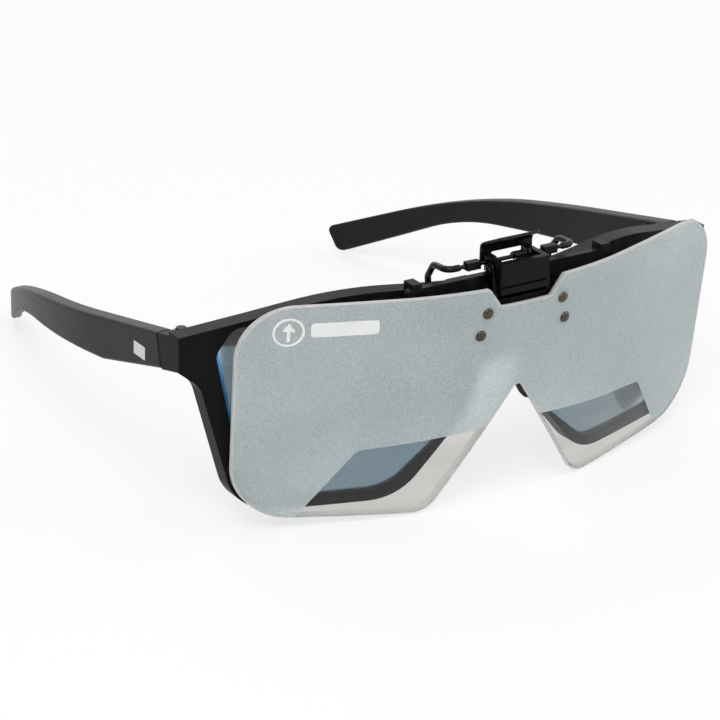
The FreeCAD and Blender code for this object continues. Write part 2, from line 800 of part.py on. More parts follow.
def front_pads():
    for side_name, side in SIDES:
        pad_block = side_box(f"pad_block_{side_name}", side, (dim("pad_inner"), dim("pad_outer")),
                             (BAR_BACK, add(BAR_BACK, dim("pad_thickness"))),
                             ("0 - dim.jaw_plate_drop", less(dim("bar_top"), dim("pad_top_gap"))))
        node(f"front_pad_{side_name}", group(f"pad_group_{side_name}", pad_block))


# ---------------------------------------------------------------- rear jaw

def tangent_path(points, radius):
    """Wire of straight runs joined by tangent arcs."""
    edges = []
    start = points[0]
    for before, corner, after in zip(points, points[1:], points[2:]):
        towards = (before - corner).normalize()
        away = (after - corner).normalize()
        half_angle = towards.getAngle(away) / 2
        reach = radius / math.tan(half_angle)
        bisector = (towards + away).normalize()
        centre = corner + bisector * (radius / math.sin(half_angle))
        middle = centre - bisector * radius
        first = corner + towards * reach
        last = corner + away * reach
        edges.append(Part.LineSegment(start, first).toShape())
        edges.append(Part.Arc(first, middle, last).toShape())
        start = last
    edges.append(Part.LineSegment(start, points[-1]).toShape())
    return Part.Wire(edges)


def swept_rod(points, bend, radius):
    """Solid of a round section carried along a path."""
    path = tangent_path(points, bend)
    direction = points[1] - points[0]
    profile = Part.Wire([Part.makeCircle(radius, points[0], direction)])
    return path.makePipeShell([profile], True, False)


def frame_back(x):
    """Depth of the sunglasses' rear face at x."""
    inner = f"(dim.wrap_radius - dim.frame_thickness)"
    return f"dim.host_setback + dim.wrap_radius - sqrt({inner} ^ 2 - ({x}) ^ 2)"


def finger_points(side, first_x):
    """Route of one jaw finger: out along the axis, back over the frame and down behind it."""
    tip_x = "dim.wire_tip_x"
    outermost = add(tip_x, dim("sleeve_wall"), dim("wire_radius"), dim("finger_margin"))
    rest_y = val(f"{frame_back(outermost)} + dim.wire_radius + dim.sleeve_wall + dim.sleeve_seat_gap")
    axis_y, axis_z = (val(item) for item in JAW_AXIS)
    half = val("dim.wire_half")
    middle_x = (half + val(tip_x)) / 2
    route = (
        (val(first_x), axis_y, axis_z),
        (half, axis_y, axis_z),
        (half, val("dim.wire_back"), val("dim.wire_back_z")),
        (middle_x, rest_y, -val("dim.wire_knee_drop")),
        (val(tip_x), rest_y, -val("dim.wire_tip_drop")),
    )
    return [FreeCAD.Vector(side * x, y, z) for x, y, z in route]


def jaw_wire():
    """One sprung wire: its straight middle is the jaw's axle and its two ends are the fingers."""
    bend = val("dim.wire_bend")
    radius = val("dim.wire_radius")
    left = finger_points(1, "0")
    right = finger_points(-1, "0")
    wire = doc.addObject("Part::Feature", "jaw_wire_swept")
    wire.Shape = swept_rod(list(reversed(right))[:-1] + left[1:], bend, radius)
    node("jaw_wire", group("jaw_wire_group", wire))


def wire_sleeves():
    """Soft coating on each finger, closed at the tip."""
    bend = val("dim.wire_bend")
    inner = val("dim.wire_radius + dim.slip_fit")
    outer = val("dim.wire_radius + dim.sleeve_wall")
    cap = val("dim.sleeve_cap")
    for side_name, side in SIDES:
        points = finger_points(side, dim("sleeve_start"))
        run = (points[-1] - points[-2]).normalize()
        outside = points[:-1] + [points[-1] + run * cap]
        inside = [points[0] - FreeCAD.Vector(side, 0, 0)] + points[1:-1] + [points[-1] + run * (cap / 4)]
        tube = swept_rod(outside, bend, outer).cut(swept_rod(inside, bend, inner))
        sleeve = doc.addObject("Part::Feature", f"sleeve_swept_{side_name}")
        sleeve.Shape = tube.Solids[0]
        node(f"wire_sleeve_{side_name}", group(f"sleeve_group_{side_name}", sleeve))


def jaw_collars():
    """Square collars crimped on the wire outside the bracket's arms."""
    half = "dim.collar_width / 2"
    for side_name, side in SIDES:
        block = side_box(f"collar_block_{side_name}", side, (dim("collar_inner"), dim("collar_outer")),
                         (less(dim("jaw_axis_y"), half), add(dim("jaw_axis_y"), half)),
                         (less(dim("jaw_axis_z"), half), add(dim("jaw_axis_z"), half)))
        bore = through_rod(f"collar_bore_{side_name}", add(dim("wire_radius"), dim("slip_fit")),
                           "dim.collar_outer * 2", JAW_AXIS)
        node(f"jaw_collar_{side_name}", cut(f"collar_finished_{side_name}", block, bore))


def thumb_lever():
    """Folded sheet: an arched upright with a lip that leans forward, and two ears on the wire."""
    front = dim("lever_front")
    back = add(front, dim("lever_sheet"))
    profile = [
        (front, dim("lever_foot_z")),
        (back, dim("lever_foot_z")),
        (back, add(dim("lever_bend_z"), dim("lever_bend_rise"))),
        (add(dim("lever_lip_y"), dim("lever_lip_slant")), add(dim("lever_lip_z"), dim("lever_lip_rise"))),
        (dim("lever_lip_y"), dim("lever_lip_z")),
        (front, dim("lever_bend_z")),
    ]
    width = "dim.lever_half * 2"
    sheet_body = prism("lever_sheet_body", "YZ_Plane", profile, width, side_type="Symmetric")
    window = box("lever_window", ("0 - dim.lever_window_half", dim("lever_window_half")),
                 (less(front, dim("overcut")), add(back, dim("overcut"))),
                 (less(dim("lever_foot_z"), dim("overcut")), dim("lever_window_top")))
    web_span = (less(dim("jaw_axis_z"), dim("ear_radius")), add(dim("jaw_axis_z"), dim("ear_radius")))
    ears = []
    for side_name, side in SIDES:
        outer = less(less(dim("housing_half"), dim("housing_wall")), dim("side_gap"))
        inner = less(outer, dim("ear_thickness"))
        start = inner if side > 0 else f"0 - ({outer})"
        ears.append(rod(f"ear_round_{side_name}", "x", dim("ear_radius"), start,
                        dim("ear_thickness"), JAW_AXIS))
        ears.append(side_box(f"ear_web_{side_name}", side, (inner, outer),
                             (dim("jaw_axis_y"), back), web_span))
    blank = fuse("lever_blank", cut("lever_arch", sheet_body, window), *ears)
    bore = through_rod("lever_bore", add(dim("wire_radius"), dim("slip_fit")),
                       "dim.housing_half * 2", JAW_AXIS)
    node("thumb_lever", cut("lever_finished", blank, bore))


# ---------------------------------------------------------------- sunglasses' front and lenses

SETBACK = dim("host_setback")


def eye_corners(side, grow):
    """Outline of one lens opening, pushed outwards all round by grow."""
    outline = (
        ("eye_middle_x", "eye_middle_z", 0, 1),
        ("eye_brow_x", "eye_brow_z", 1, 1),
        ("eye_temple_x", "eye_temple_z", 1, 0),
        ("eye_low_x", "eye_low_z", 1, -1),
        ("eye_inner_x", "eye_low_z", -1, -1),
        ("eye_nose_x", "eye_nose_z", -1, 0),
        ("eye_bridge_x", "eye_bridge_z", -1, 1),
    )
    return [(signed(side, f"dim.{x} + {out} * ({grow})"), f"dim.{z} + {up} * ({grow})")
            for x, z, out, up in outline]


def eye_prism(name, side, grow):
    rounds = (
        ((1, 2), add(dim("eye_small_round"), grow)),
        ((3, 5, 6), add(dim("eye_round"), grow)),
        ((4,), add(dim("eye_inner_round"), grow)),
    )
    return prism(name, "XZ_Plane", eye_corners(side, grow), dim("blank_depth"), rounds, side_type="Symmetric")


def end_piece(side_name, side):
    """Block that turns back from the front to the temple's seam."""
    corners = [
        (less(dim("end_front_y"), SETBACK), dim("frame_corner_z")),
        (less(dim("seam_top_y"), SETBACK), dim("seam_top_z")),
        (less(dim("seam_low_y"), SETBACK), dim("seam_low_z")),
        (less(dim("end_front_y"), SETBACK), dim("end_low_z")),
    ]
    start = "dim.temple_outer - dim.temple_thickness" if side > 0 else "0 - dim.temple_outer"
    return prism(f"end_piece_{side_name}", "YZ_Plane", corners, dim("temple_thickness"), offset=start)


def front_frame():
    """Full-rim front: a curved sheet trimmed to its outline, opened and grooved for two lenses."""
    half = [
        ("dim.frame_brow_x", "dim.frame_brow_z"),
        ("dim.temple_outer", "dim.frame_corner_z"),
        ("dim.temple_outer", "dim.frame_step_z"),
        ("dim.frame_waist_x", "dim.frame_waist_z"),
        ("dim.frame_low_x", "dim.frame_low_z"),
        ("dim.frame_inner_x", "dim.frame_low_z"),
        ("dim.frame_nose_x", "dim.frame_nose_z"),
        ("dim.bridge_half", "dim.bridge_z"),
    ]
    corners = [("0", "dim.frame_mid_top")] + half + [(f"0 - {x}", z) for x, z in reversed(half)]
    rounds = (
        ((1, 16), dim("frame_brow_round")),
        ((4, 13), dim("frame_waist_round")),
        ((5, 12), dim("frame_low_round")),
        ((6, 11), dim("frame_inner_round")),
        ((7, 10), dim("frame_nose_round")),
        ((8, 9), dim("bridge_round")),
    )
    outline = prism("frame_outline", "XZ_Plane", corners, dim("blank_depth"), rounds, side_type="Symmetric")
    blank = trimmed_sheet("frame_sheet", "0", dim("frame_thickness"), outline)
    whole = fuse("frame_whole", blank, *[end_piece(side_name, side) for side_name, side in SIDES])
    groove_front = less(dim("sun_lens_front"), dim("bed_gap"))
    groove_back = add(dim("sun_lens_front"), dim("sun_lens_thickness"), dim("bed_gap"))
    cuts = []
    for side_name, side in SIDES:
        cuts.append(eye_prism(f"eye_opening_{side_name}", side, "0"))
        cuts.append(trimmed_sheet(f"eye_groove_{side_name}", groove_front, groove_back,
                                  eye_prism(f"groove_outline_{side_name}", side, dim("eye_groove"))))
    node("front_frame", cut("frame_finished", whole, fuse("frame_cuts", *cuts)), setback=SETBACK)


def sun_lenses():
    for side_name, side in SIDES:
        outline = eye_prism(f"sun_outline_{side_name}", side, less(dim("eye_groove"), dim("running_fit")))
        lens = trimmed_sheet(f"sun_sheet_{side_name}", dim("sun_lens_front"),
                             add(dim("sun_lens_front"), dim("sun_lens_thickness")), outline)
        node(f"sun_lens_{side_name}", lens, setback=SETBACK)


def nose_pads():
    """Soft pads on the inner rims, leaning with the sides of the nose."""
    for side_name, side in SIDES:
        width = "dim.nose_pad_half_width"
        height = "dim.nose_pad_half_height"
        low, high = f"0 - {height}", height
        corners = [(f"0 - {width}", low), (width, low), (width, high), (f"0 - {width}", high)]
        pad_body = prism(f"nose_pad_body_{side_name}", "XZ_Plane", corners, dim("nose_pad_depth"),
                         (((0, 1, 2, 3), f"{width} * dim.nose_pad_roundness"),), reverse=True)
        lean = FreeCAD.Rotation(FreeCAD.Vector(0, 1, 0), -side * val("dim.nose_pad_lean"))
        pad_body.Placement.Rotation = lean
        seat = f"{frame_back('dim.nose_pad_x + dim.nose_pad_half_width * 2')} + dim.bed_gap"
        move(pad_body, signed(side, dim("nose_pad_x")), seat, dim("nose_pad_z"))
        node(f"nose_pad_{side_name}", group(f"nose_pad_group_{side_name}", pad_body))


# ---------------------------------------------------------------- temples and their hinges

TEMPLE_INNER = "dim.temple_outer - dim.temple_thickness"
HINGE_X = f"{TEMPLE_INNER} - dim.hinge_inset"
HINGE_Y = "dim.seam_top_y"
TIP_LOW_Z = "0 - dim.stand_height"


def temple_plan(name, side, outer_in, inner_in):
    """Upright blank along the temple's plan line: straight, then one long inward curve."""
    outer = f"dim.temple_outer - ({outer_in})"
    inner = f"dim.temple_outer - ({inner_in})"
    start = "dim.seam_low_y - 2 * dim.overcut"
    centre_x = "(dim.temple_outer - dim.temple_curve)"
    outer_r = f"(dim.temple_curve - ({outer_in}))"
    inner_r = f"(dim.temple_curve - ({inner_in}))"
    sweep = "dim.temple_sweep"
    corners = [
        (outer, start), (outer, "dim.temple_straight"),
        (f"{centre_x} + {outer_r} * cos({sweep})", f"dim.temple_straight + {outer_r} * sin({sweep})"),
        (f"{centre_x} + {inner_r} * cos({sweep})", f"dim.temple_straight + {inner_r} * sin({sweep})"),
        (inner, "dim.temple_straight"), (inner, start),
    ]
    corners = [(signed(side, x), y) for x, y in corners]
    arcs = {1: (outer_r, side), 3: (inner_r, -side)}
    return prism(name, "XY_Plane", corners, dim("blank_height"), arcs=arcs, side_type="Symmetric")


def temple_profile(name):
    """Side view of a temple: a deep shoulder, a slim shank and a drop behind the ear."""
    corners = [
        (add("dim.seam_top_y", dim("seam_gap")), "dim.seam_top_z"),
        ("dim.ear_y", "dim.ear_top_z"),
        ("dim.overall_depth", f"{TIP_LOW_Z} + dim.tip_top_drop"),
        ("dim.overall_depth - dim.tip_slant", TIP_LOW_Z),
        ("dim.ear_y", "dim.ear_low_z"),
        ("dim.kink_y", "dim.kink_z"),
        (add("dim.seam_low_y", dim("seam_gap")), "dim.seam_low_z"),
    ]
    rounds = (
        ((1,), dim("ear_round")),
        ((2, 3), dim("tip_round")),
        ((4,), "dim.ear_round / 2"),
        ((5,), dim("kink_round")),
    )
    return prism(name, "YZ_Plane", corners, dim("blank_height") + " * 2", rounds, side_type="Symmetric")


def inlay_block(name, side, grow, depth_grow):
    """Plain rectangular inlay let into the temple's outer face."""
    half_length = f"(dim.inlay_length / 2 + ({grow}))"
    half_height = f"(dim.inlay_height / 2 + ({grow}))"
    inner = f"dim.temple_outer - dim.inlay_thickness - ({depth_grow})"
    outer = "dim.temple_outer + dim.inlay_proud"
    return side_box(name, side, (inner, outer),
                    (f"dim.inlay_y - {half_length}", f"dim.inlay_y + {half_length}"),
                    (f"dim.inlay_z - {half_height}", f"dim.inlay_z + {half_height}"))


def temples():
    for side_name, side in SIDES:
        plan = temple_plan(f"temple_plan_{side_name}", side, "0", dim("temple_thickness"))
        bar = common(f"temple_bar_{side_name}", plan, temple_profile(f"temple_profile_{side_name}"))
        seat = inlay_block(f"inlay_seat_{side_name}", side, dim("bed_gap"), dim("bed_gap"))
        node(f"temple_{side_name}", cut(f"temple_cut_{side_name}", bar, seat))
        plate = inlay_block(f"inlay_{side_name}", side, "0", "0")
        node(f"temple_inlay_{side_name}", group(f"inlay_group_{side_name}", plate))


def knuckle_span(number):
    """Top and bottom of one of the three knuckles, counted from the top."""
    step = f"{number} * (dim.knuckle_height + dim.knuckle_gap)"
    top = f"dim.hinge_top_z - {step}"
    return f"{top} - dim.knuckle_height", top


def knuckle(name, side, number, web_y):
    low, high = knuckle_span(number)
    barrel = rod(f"{name}_barrel", "z", dim("knuckle_radius"), low, dim("knuckle_height"),
                 (signed(side, HINGE_X), HINGE_Y))
    web = side_box(f"{name}_web", side, (HINGE_X, TEMPLE_INNER), web_y, (low, high))
    return barrel, web


def hinge_leaf(name, side, numbers, plate_y, web_y):
    """Metal leaf on an inner face with its knuckles on the hinge axis."""
    bottom = knuckle_span(2)[0]
    top = "dim.hinge_top_z" if 0 in numbers else "dim.hinge_top_z - dim.knuckle_height"
    plate_x = (f"{TEMPLE_INNER} - dim.leaf_thickness", TEMPLE_INNER)
    pieces = [side_box(f"{name}_plate", side, plate_x, plate_y, (bottom, top))]
    for number in numbers:
        pieces += knuckle(f"{name}_{number}", side, number, web_y)
    bore = rod(f"{name}_bore", "z", add(dim("screw_radius"), dim("running_fit")),
               f"{bottom} - dim.overcut", f"dim.hinge_top_z - ({bottom}) + 2 * dim.overcut",
               (signed(side, HINGE_X), HINGE_Y))
    node(name, cut(f"{name}_drilled", fuse(f"{name}_blank", *pieces), bore))


def hinges():
    clear = "dim.leaf_clear"
    for side_name, side in SIDES:
        hinge_leaf(f"front_hinge_{side_name}", side, (0, 2),
                   (f"{HINGE_Y} - {clear} - dim.front_leaf_length", f"{HINGE_Y} - {clear}"),
                   (f"{HINGE_Y} - {clear}", HINGE_Y))
        hinge_leaf(f"temple_hinge_{side_name}", side, (1,),
                   (f"{HINGE_Y} + {clear}", f"{HINGE_Y} + {clear} + dim.temple_leaf_length"),
                   (HINGE_Y, f"{HINGE_Y} + {clear}"))
        at = (signed(side, HINGE_X), HINGE_Y)
        bottom = knuckle_span(2)[0]
        shank = rod(f"screw_shank_{side_name}", "z", dim("screw_radius"), bottom,
                    f"dim.hinge_top_z - ({bottom})", at)
        head = rod(f"screw_head_{side_name}", "z", dim("screw_head"), "dim.hinge_top_z",
                   dim("screw_head_height"), at)
        node(f"hinge_screw_{side_name}", fuse(f"screw_{side_name}", shank, head))


# ---------------------------------------------------------------- build, check and write

def seat_origin():
    """Put the row's origin on the floor, under the middle of the finished object."""
    doc.recompute()
    whole = Part.makeCompound([item.Shape for item in nodes.values()]).BoundBox
    for alias, value in (("row_middle", (whole.YMin + whole.YMax) / 2), ("row_floor", whole.ZMin)):
        sheet.set(sheet.getCellFromAlias(alias), f"{value:.4f}")
    doc.recompute()


def check():
    """Stop before writing if any object failed or any finished piece is not a valid solid."""
    for item in doc.Objects:
        if "Invalid" in item.State or "Error" in item.State:
            raise RuntimeError(f"{item.Name} failed: {item.State}")
    for name, item in nodes.items():
        shape = item.Shape
        if shape.isNull() or not shape.isValid() or not shape.Solids:
            raise RuntimeError(f"{name} has no valid solid")


def write():
    os.makedirs("parts", exist_ok=True)
    for name, item in nodes.items():
        item.Shape.exportStep(os.path.join("parts", name + ".step"))


fill_sheet()
for build in (flip_lens, lens_bracket, lens_rivets, hinge_housing, hinge_pin, springs, clip_base, front_bar,
              base_rivets, front_pads, jaw_wire, wire_sleeves, jaw_collars, thumb_lever, front_frame,
              sun_lenses, nose_pads, temples, hinges):
    build()
seat_origin()
check()
write()
whole = Part.makeCompound([item.Shape for item in nodes.values()]).BoundBox
print(f"origin at y {val('dim.row_middle'):.4f}, z {val('dim.row_floor'):.4f} on the datum")
print(f"{len(nodes)} nodes, box {whole.XMin:.2f}..{whole.XMax:.2f}, {whole.YMin:.2f}..{whole.YMax:.2f}, "
      f"{whole.ZMin:.2f}..{whole.ZMax:.2f}")
for name, item in nodes.items():
    print(f"{name}: {len(item.Shape.Solids)} solid(s), {item.Shape.Volume:.1f} mm3")
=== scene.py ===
"""Clip-on flip lenses and the sunglasses that carry them: the looks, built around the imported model.

Shapes are laid out in millimetres on the part's own datum, whose x runs to the wearer's left, whose y runs
back from the front of the flip lens and whose z runs up from the lens's top edge.  Each finished mesh is
then seated in the row frame, in metres, so every object sits at the origin, unturned and unscaled.
"""

import logging
import math
from collections.abc import Callable, Mapping, Sequence
from dataclasses import dataclass
from enum import Enum

import bmesh
import bpy
import numpy as np
from mathutils import Matrix, Vector


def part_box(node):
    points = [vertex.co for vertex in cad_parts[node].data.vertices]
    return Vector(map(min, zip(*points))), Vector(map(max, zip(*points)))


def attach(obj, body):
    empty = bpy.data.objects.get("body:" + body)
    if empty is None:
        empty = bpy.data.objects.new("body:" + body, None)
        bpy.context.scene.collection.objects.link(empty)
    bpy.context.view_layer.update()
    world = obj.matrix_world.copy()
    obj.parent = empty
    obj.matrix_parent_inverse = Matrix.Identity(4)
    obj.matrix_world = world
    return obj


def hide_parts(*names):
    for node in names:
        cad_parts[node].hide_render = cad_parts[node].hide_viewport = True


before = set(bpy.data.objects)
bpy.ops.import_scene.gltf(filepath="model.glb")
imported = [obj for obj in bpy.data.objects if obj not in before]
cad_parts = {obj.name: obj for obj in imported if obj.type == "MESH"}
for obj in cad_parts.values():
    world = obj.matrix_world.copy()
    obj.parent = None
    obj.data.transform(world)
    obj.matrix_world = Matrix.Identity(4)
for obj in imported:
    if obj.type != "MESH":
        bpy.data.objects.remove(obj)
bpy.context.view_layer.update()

LOG = logging.getLogger("clip_on_flip_lenses")
METRES_PER_MM = 0.001
SAME_POINT_MM = 1e-4
NODE_SAME_POINT_M = 2e-6
FLAT_TURN = math.radians(1.0)
FEWEST_ARC_STEPS = 4
POLE_SHARE = 0.03  # of a radius, left at a closed end so that its ring keeps its points apart

Point = tuple[float, float, float]
Pair = tuple[float, float]
Colour = tuple[float, float, float]
Faces = list[tuple[int, ...]]
Placing = Callable[[np.ndarray], np.ndarray]
Feed = bpy.types.NodeSocket | float | tuple[float, ...]
Outputs = Mapping[str, bpy.types.NodeSocket]


class Side(Enum):
    """One side of the wearer; the value is the sign of x."""

    RIGHT = -1
    LEFT = 1

    @property
    def word(self) -> str:
        """The side's name as the model's nodes spell it."""
        return self.name.lower()


class Body(Enum):
    """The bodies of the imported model."""

    SUNGLASSES = "sunglasses"
    RIGHT_TEMPLE = "right_temple"
    LEFT_TEMPLE = "left_temple"
    CLIP = "clip"
    FLIP = "flip"
    REAR_JAW = "rear_jaw"


class Slot(Enum):
    """The record's material slots."""

    FROSTED_LENS = "frosted_lens"
    SPRING_STEEL = "dark_spring_steel"
    NICKEL = "nickel_rivet"
    MOULDING = "black_moulding"
    SHEET = "black_sheet"
    RUBBER = "soft_rubber"
    FRAME = "matte_frame"
    MIRROR = "mirror_lens"
    INLAY = "silver_inlay"
    HINGE = "hinge_metal"


# ---------------------------------------------------------------- datum and curved surface


@dataclass(frozen=True)
class Datum:
    """Offset from the part's datum to the row frame, in millimetres."""

    pin_y: float = 5.2
    pin_z: float = 2.6

    def offset(self) -> np.ndarray:
        """The datum's origin in the row frame, found from the flip pin.

        Returns:
            Three millimetre coordinates.
        """
        low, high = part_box("hinge_pin")
        middle = (np.array(low) + np.array(high)) / (2 * METRES_PER_MM)
        return np.array([0.0, middle[1] - self.pin_y, middle[2] - self.pin_z])

    def seat(self, points: np.ndarray) -> np.ndarray:
        """Rows of datum millimetres as rows of row-frame metres: the offset added, then scaled."""
        return (np.asarray(points, float) + self.offset()) * METRES_PER_MM


DATUM = Datum()


@dataclass(frozen=True)
class WrapSurface:
    """Upright sheet that follows the plan curve shared by the lens, its bracket and the front."""

    radius: float = 112.0
    side_radius: float = 600.0
    bend: float = 16.4
    setback: float = 0.0
    tilt: float = 0.0

    def depth(self, x: np.ndarray, layer: np.ndarray) -> np.ndarray:
        """y of a layer behind the front curve.

        In the middle stretch y is the radius less the root of (radius - layer) squared less x squared; past
        the bend it lies on the larger circle that meets the first one without a corner.

        Args:
            x: Distance across, in millimetres.
            layer: Depth behind the front curve, in millimetres.

        Returns:
            y in millimetres, before the setback.
        """
        angle = math.radians(self.bend)
        reach = np.abs(x)
        inner = self.radius - layer
        middle = self.radius - np.sqrt(np.clip(inner**2 - reach**2, 0.0, None))
        extra = self.radius - self.side_radius
        centre_x = extra * math.sin(angle)
        centre_y = self.radius - extra * math.cos(angle)
        outer = np.clip((self.side_radius - layer) ** 2 - (reach - centre_x) ** 2, 0.0, None)
        return np.where(reach < inner * math.sin(angle), middle, centre_y - np.sqrt(outer))

    def place(self, flat: np.ndarray) -> np.ndarray:
        """Wraps rows of (across, height, layer) onto the surface, sets them back, then tilts them.

        Args:
            flat: Rows of across, height and depth behind the front, in millimetres.

        Returns:
            Rows of datum x, y, z in millimetres.
        """
        y = self.depth(flat[:, 0], flat[:, 2]) + self.setback
        angle = math.radians(self.tilt)
        tilted_y = y * math.cos(angle) - flat[:, 1] * math.sin(angle)
        tilted_z = y * math.sin(angle) + flat[:, 1] * math.cos(angle)
        return np.column_stack([flat[:, 0], tilted_y, tilted_z])


LENS_SURFACE = WrapSurface(tilt=4.87)
FRONT_SURFACE = WrapSurface(setback=9.0)


# ---------------------------------------------------------------- outlines and paths


def unit(vectors: np.ndarray) -> np.ndarray:
    """The vectors along the last axis, each divided by its own length."""
    return vectors / np.linalg.norm(vectors, axis=-1, keepdims=True)


def even_angles(count: int) -> np.ndarray:
    """Even angles once round a circle, from 0 and without the last."""
    return np.linspace(0.0, 2 * math.pi, count, endpoint=False)


def quarter_turn(count: int) -> np.ndarray:
    """Even angles from 0 to a right angle, both included."""
    return np.linspace(0.0, math.pi / 2, count)


def strips(reach: float, width: float) -> np.ndarray:
    """Where a sheet is divided across: every width, from one reach to the other."""
    return np.arange(-reach, reach + width / 2, width)


def mirrored(half: Sequence[Pair]) -> list[Pair]:
    """The half outline followed by its mirror image, back to the start."""
    return list(half) + [(-x, z) for x, z in reversed(half)]


def lengths_along(path: np.ndarray) -> np.ndarray:
    """Distance from a path's start to each of its rows: the running sum of its steps."""
    return np.concatenate([[0.0], np.cumsum(np.linalg.norm(np.diff(path, axis=0), axis=1))])


def corner_arc(
    before: np.ndarray, corner: np.ndarray, after: np.ndarray, radius: float
) -> tuple[float, np.ndarray, np.ndarray, np.ndarray]:
    """Arc that rounds a corner and touches both of its sides.

    The centre lies on the corner's bisector, radius / sin(half the corner's angle) away, and each tangent
    point lies radius / tan(half the angle) along its side.

    Args:
        before: The point before the corner.
        corner: The corner.
        after: The point after it.
        radius: The arc's radius.

    Returns:
        Half of the corner's angle, the centre, and the two tangent points as seen from the centre.
    """
    back, ahead = unit(before - corner), unit(after - corner)
    half = math.acos(float(np.clip(back @ ahead, -1.0, 1.0))) / 2
    centre = corner + unit(back + ahead) * radius / math.sin(half)
    start = corner + back * radius / math.tan(half) - centre
    return half, centre, start, corner + ahead * radius / math.tan(half) - centre


def rounded_loop(corners: Sequence[Pair], radii: Sequence[float], step: float = 0.4) -> np.ndarray:
    """Closed outline of straight runs joined by tangent arcs.

    Args:
        corners: The sharp corners, in order.
        radii: One radius for each corner.
        step: Longest step along an arc, in millimetres.

    Returns:
        Rows of across and height.
    """
    points = np.array(corners, float)
    befores, afters = np.roll(points, 1, axis=0), np.roll(points, -1, axis=0)
    runs = []
    for before, corner, after, radius in zip(befores, points, afters, radii):
        _, centre, start, end = corner_arc(before, corner, after, radius)
        turn = math.atan2(start[0] * end[1] - start[1] * end[0], float(start @ end))
        count = max(FEWEST_ARC_STEPS, math.ceil(abs(turn) * radius / step))
        angles = np.linspace(0.0, turn, count + 1)
        cos, sin = np.cos(angles), np.sin(angles)
        arc = np.column_stack([start[0] * cos - start[1] * sin, start[0] * sin + start[1] * cos])
        runs.append(centre + arc)
    return np.concatenate(runs)


def circle_loop(centre: Pair, radius: float, count: int = 48) -> np.ndarray:
    """Closed circle: the centre plus radius times cosine and sine of even angles."""
    angles = even_angles(count)
    return np.column_stack([centre[0] + radius * np.cos(angles), centre[1] + radius * np.sin(angles)])


def outward_directions(loop: np.ndarray) -> np.ndarray:
    """Directions out of a closed outline, square to the line between each point's neighbours.

    Args:
        loop: Rows of across and height.

    Returns:
        One unit direction for each row.
    """
    tangent = np.roll(loop, -1, axis=0) - np.roll(loop, 1, axis=0)
    area = (loop[:, 0] * np.roll(loop[:, 1], -1) - loop[:, 1] * np.roll(loop[:, 0], -1)).sum()
    return unit(np.column_stack([tangent[:, 1], -tangent[:, 0]]) * np.sign(area))


# ---------------------------------------------------------------- meshes


def link(name: str, mesh: bpy.types.Mesh) -> bpy.types.Object:
    """Puts a mesh into the scene under its own name, with its object at the origin.

    Args:
        name: The object's name.
        mesh: Its mesh, in metres.

    Returns:
        The new object.
    """
    thing = bpy.data.objects.new(name, mesh)
    bpy.context.scene.collection.objects.link(thing)
    return thing


def read_vectors(items: Sequence[object], what: str) -> np.ndarray:
    """Reads one vector of every vertex or face at once.

    Args:
        items: The mesh's vertices or polygons.
        what: The vector's name, such as co or normal.

    Returns:
        Rows of x, y, z.
    """
    values = np.empty(len(items) * 3)
    items.foreach_get(what, values)
    return values.reshape(-1, 3)


def finish_mesh(
    name: str, points: np.ndarray, faces: Sequence[Sequence[int]], sharp: float = 40.0
) -> bpy.types.Object:
    """Seats a mesh given in datum millimetres, turns its faces outwards and shades it smooth.

    Args:
        name: The piece's name.
        points: Rows of datum x, y, z in millimetres.
        faces: Corner numbers of each face.
        sharp: Edges that turn more than this, in degrees, stay sharp.

    Returns:
        The new object.
    """
    mesh = bpy.data.meshes.new(name)
    mesh.from_pydata(DATUM.seat(points).tolist(), [], [list(map(int, face)) for face in faces])
    shell = bmesh.new()
    shell.from_mesh(mesh)
    bmesh.ops.remove_doubles(shell, verts=shell.verts, dist=SAME_POINT_MM * METRES_PER_MM)
    bmesh.ops.recalc_face_normals(shell, faces=shell.faces)
    shell.to_mesh(mesh)
    shell.free()
    mesh.validate()
    mesh.shade_smooth()
    mesh.set_sharp_from_angle(angle=math.radians(sharp))
    return link(name, mesh)


def even_shading(piece: bpy.types.Object, weight: int, keep_sharp: bool) -> None:
    """Lets large faces lead the shading of the edges they meet.

    Args:
        piece: The object.
        weight: How strongly large faces lead; 50 is even.
        keep_sharp: Whether sharp edges stay sharp.
    """
    weighted = piece.modifiers.new("even_shading", "WEIGHTED_NORMAL")
    weighted.weight = weight
    weighted.keep_sharp = keep_sharp


def ring_faces(rings: int, around: int) -> Faces:
    """Quads between neighbouring closed rings of a grid.

    Args:
        rings: How many rings there are.
        around: Points round each ring.

    Returns:
        The quads.
    """
    row = np.arange(rings - 1)[:, None] * around
    here = np.arange(around)[None, :]
    ahead = (here + 1) % around
    quads = np.stack([row + here, row + ahead, row + around + ahead, row + around + here], axis=-1)
    return [tuple(quad) for quad in quads.reshape(-1, 4)]


def skin(rings: np.ndarray) -> tuple[np.ndarray, Faces]:
    """Closed skin over a stack of rings, with a pole at the middle of each end ring.

    Args:
        rings: An array of stations by points around by three.

    Returns:
        The points and the faces.
    """
    count, around, _ = rings.shape
    points = np.concatenate([rings.reshape(-1, 3), rings[:1].mean(axis=1), rings[-1:].mean(axis=1)])
    faces = ring_faces(count, around)
    here = np.arange(around)
    ahead = (here + 1) % around
    low, high = count * around, count * around + 1
    last = (count - 1) * around
    faces += [(int(b), int(a), low) for a, b in zip(here, ahead)]
    faces += [(int(last + a), int(last + b), high) for a, b in zip(here, ahead)]
    return points, faces


def joined(parts: Sequence[tuple[np.ndarray, Faces]]) -> tuple[np.ndarray, Faces]:
    """Several skins as one set of points and faces.

    Args:
        parts: The points and faces of each skin.

    Returns:
        All the points, and the faces with their corners numbered on.
    """
    points, faces, first = [], [], 0
    for part_points, part_faces in parts:
        points.append(part_points)
        faces += [tuple(int(corner) + first for corner in face) for face in part_faces]
        first += len(part_points)
    return np.concatenate(points), faces


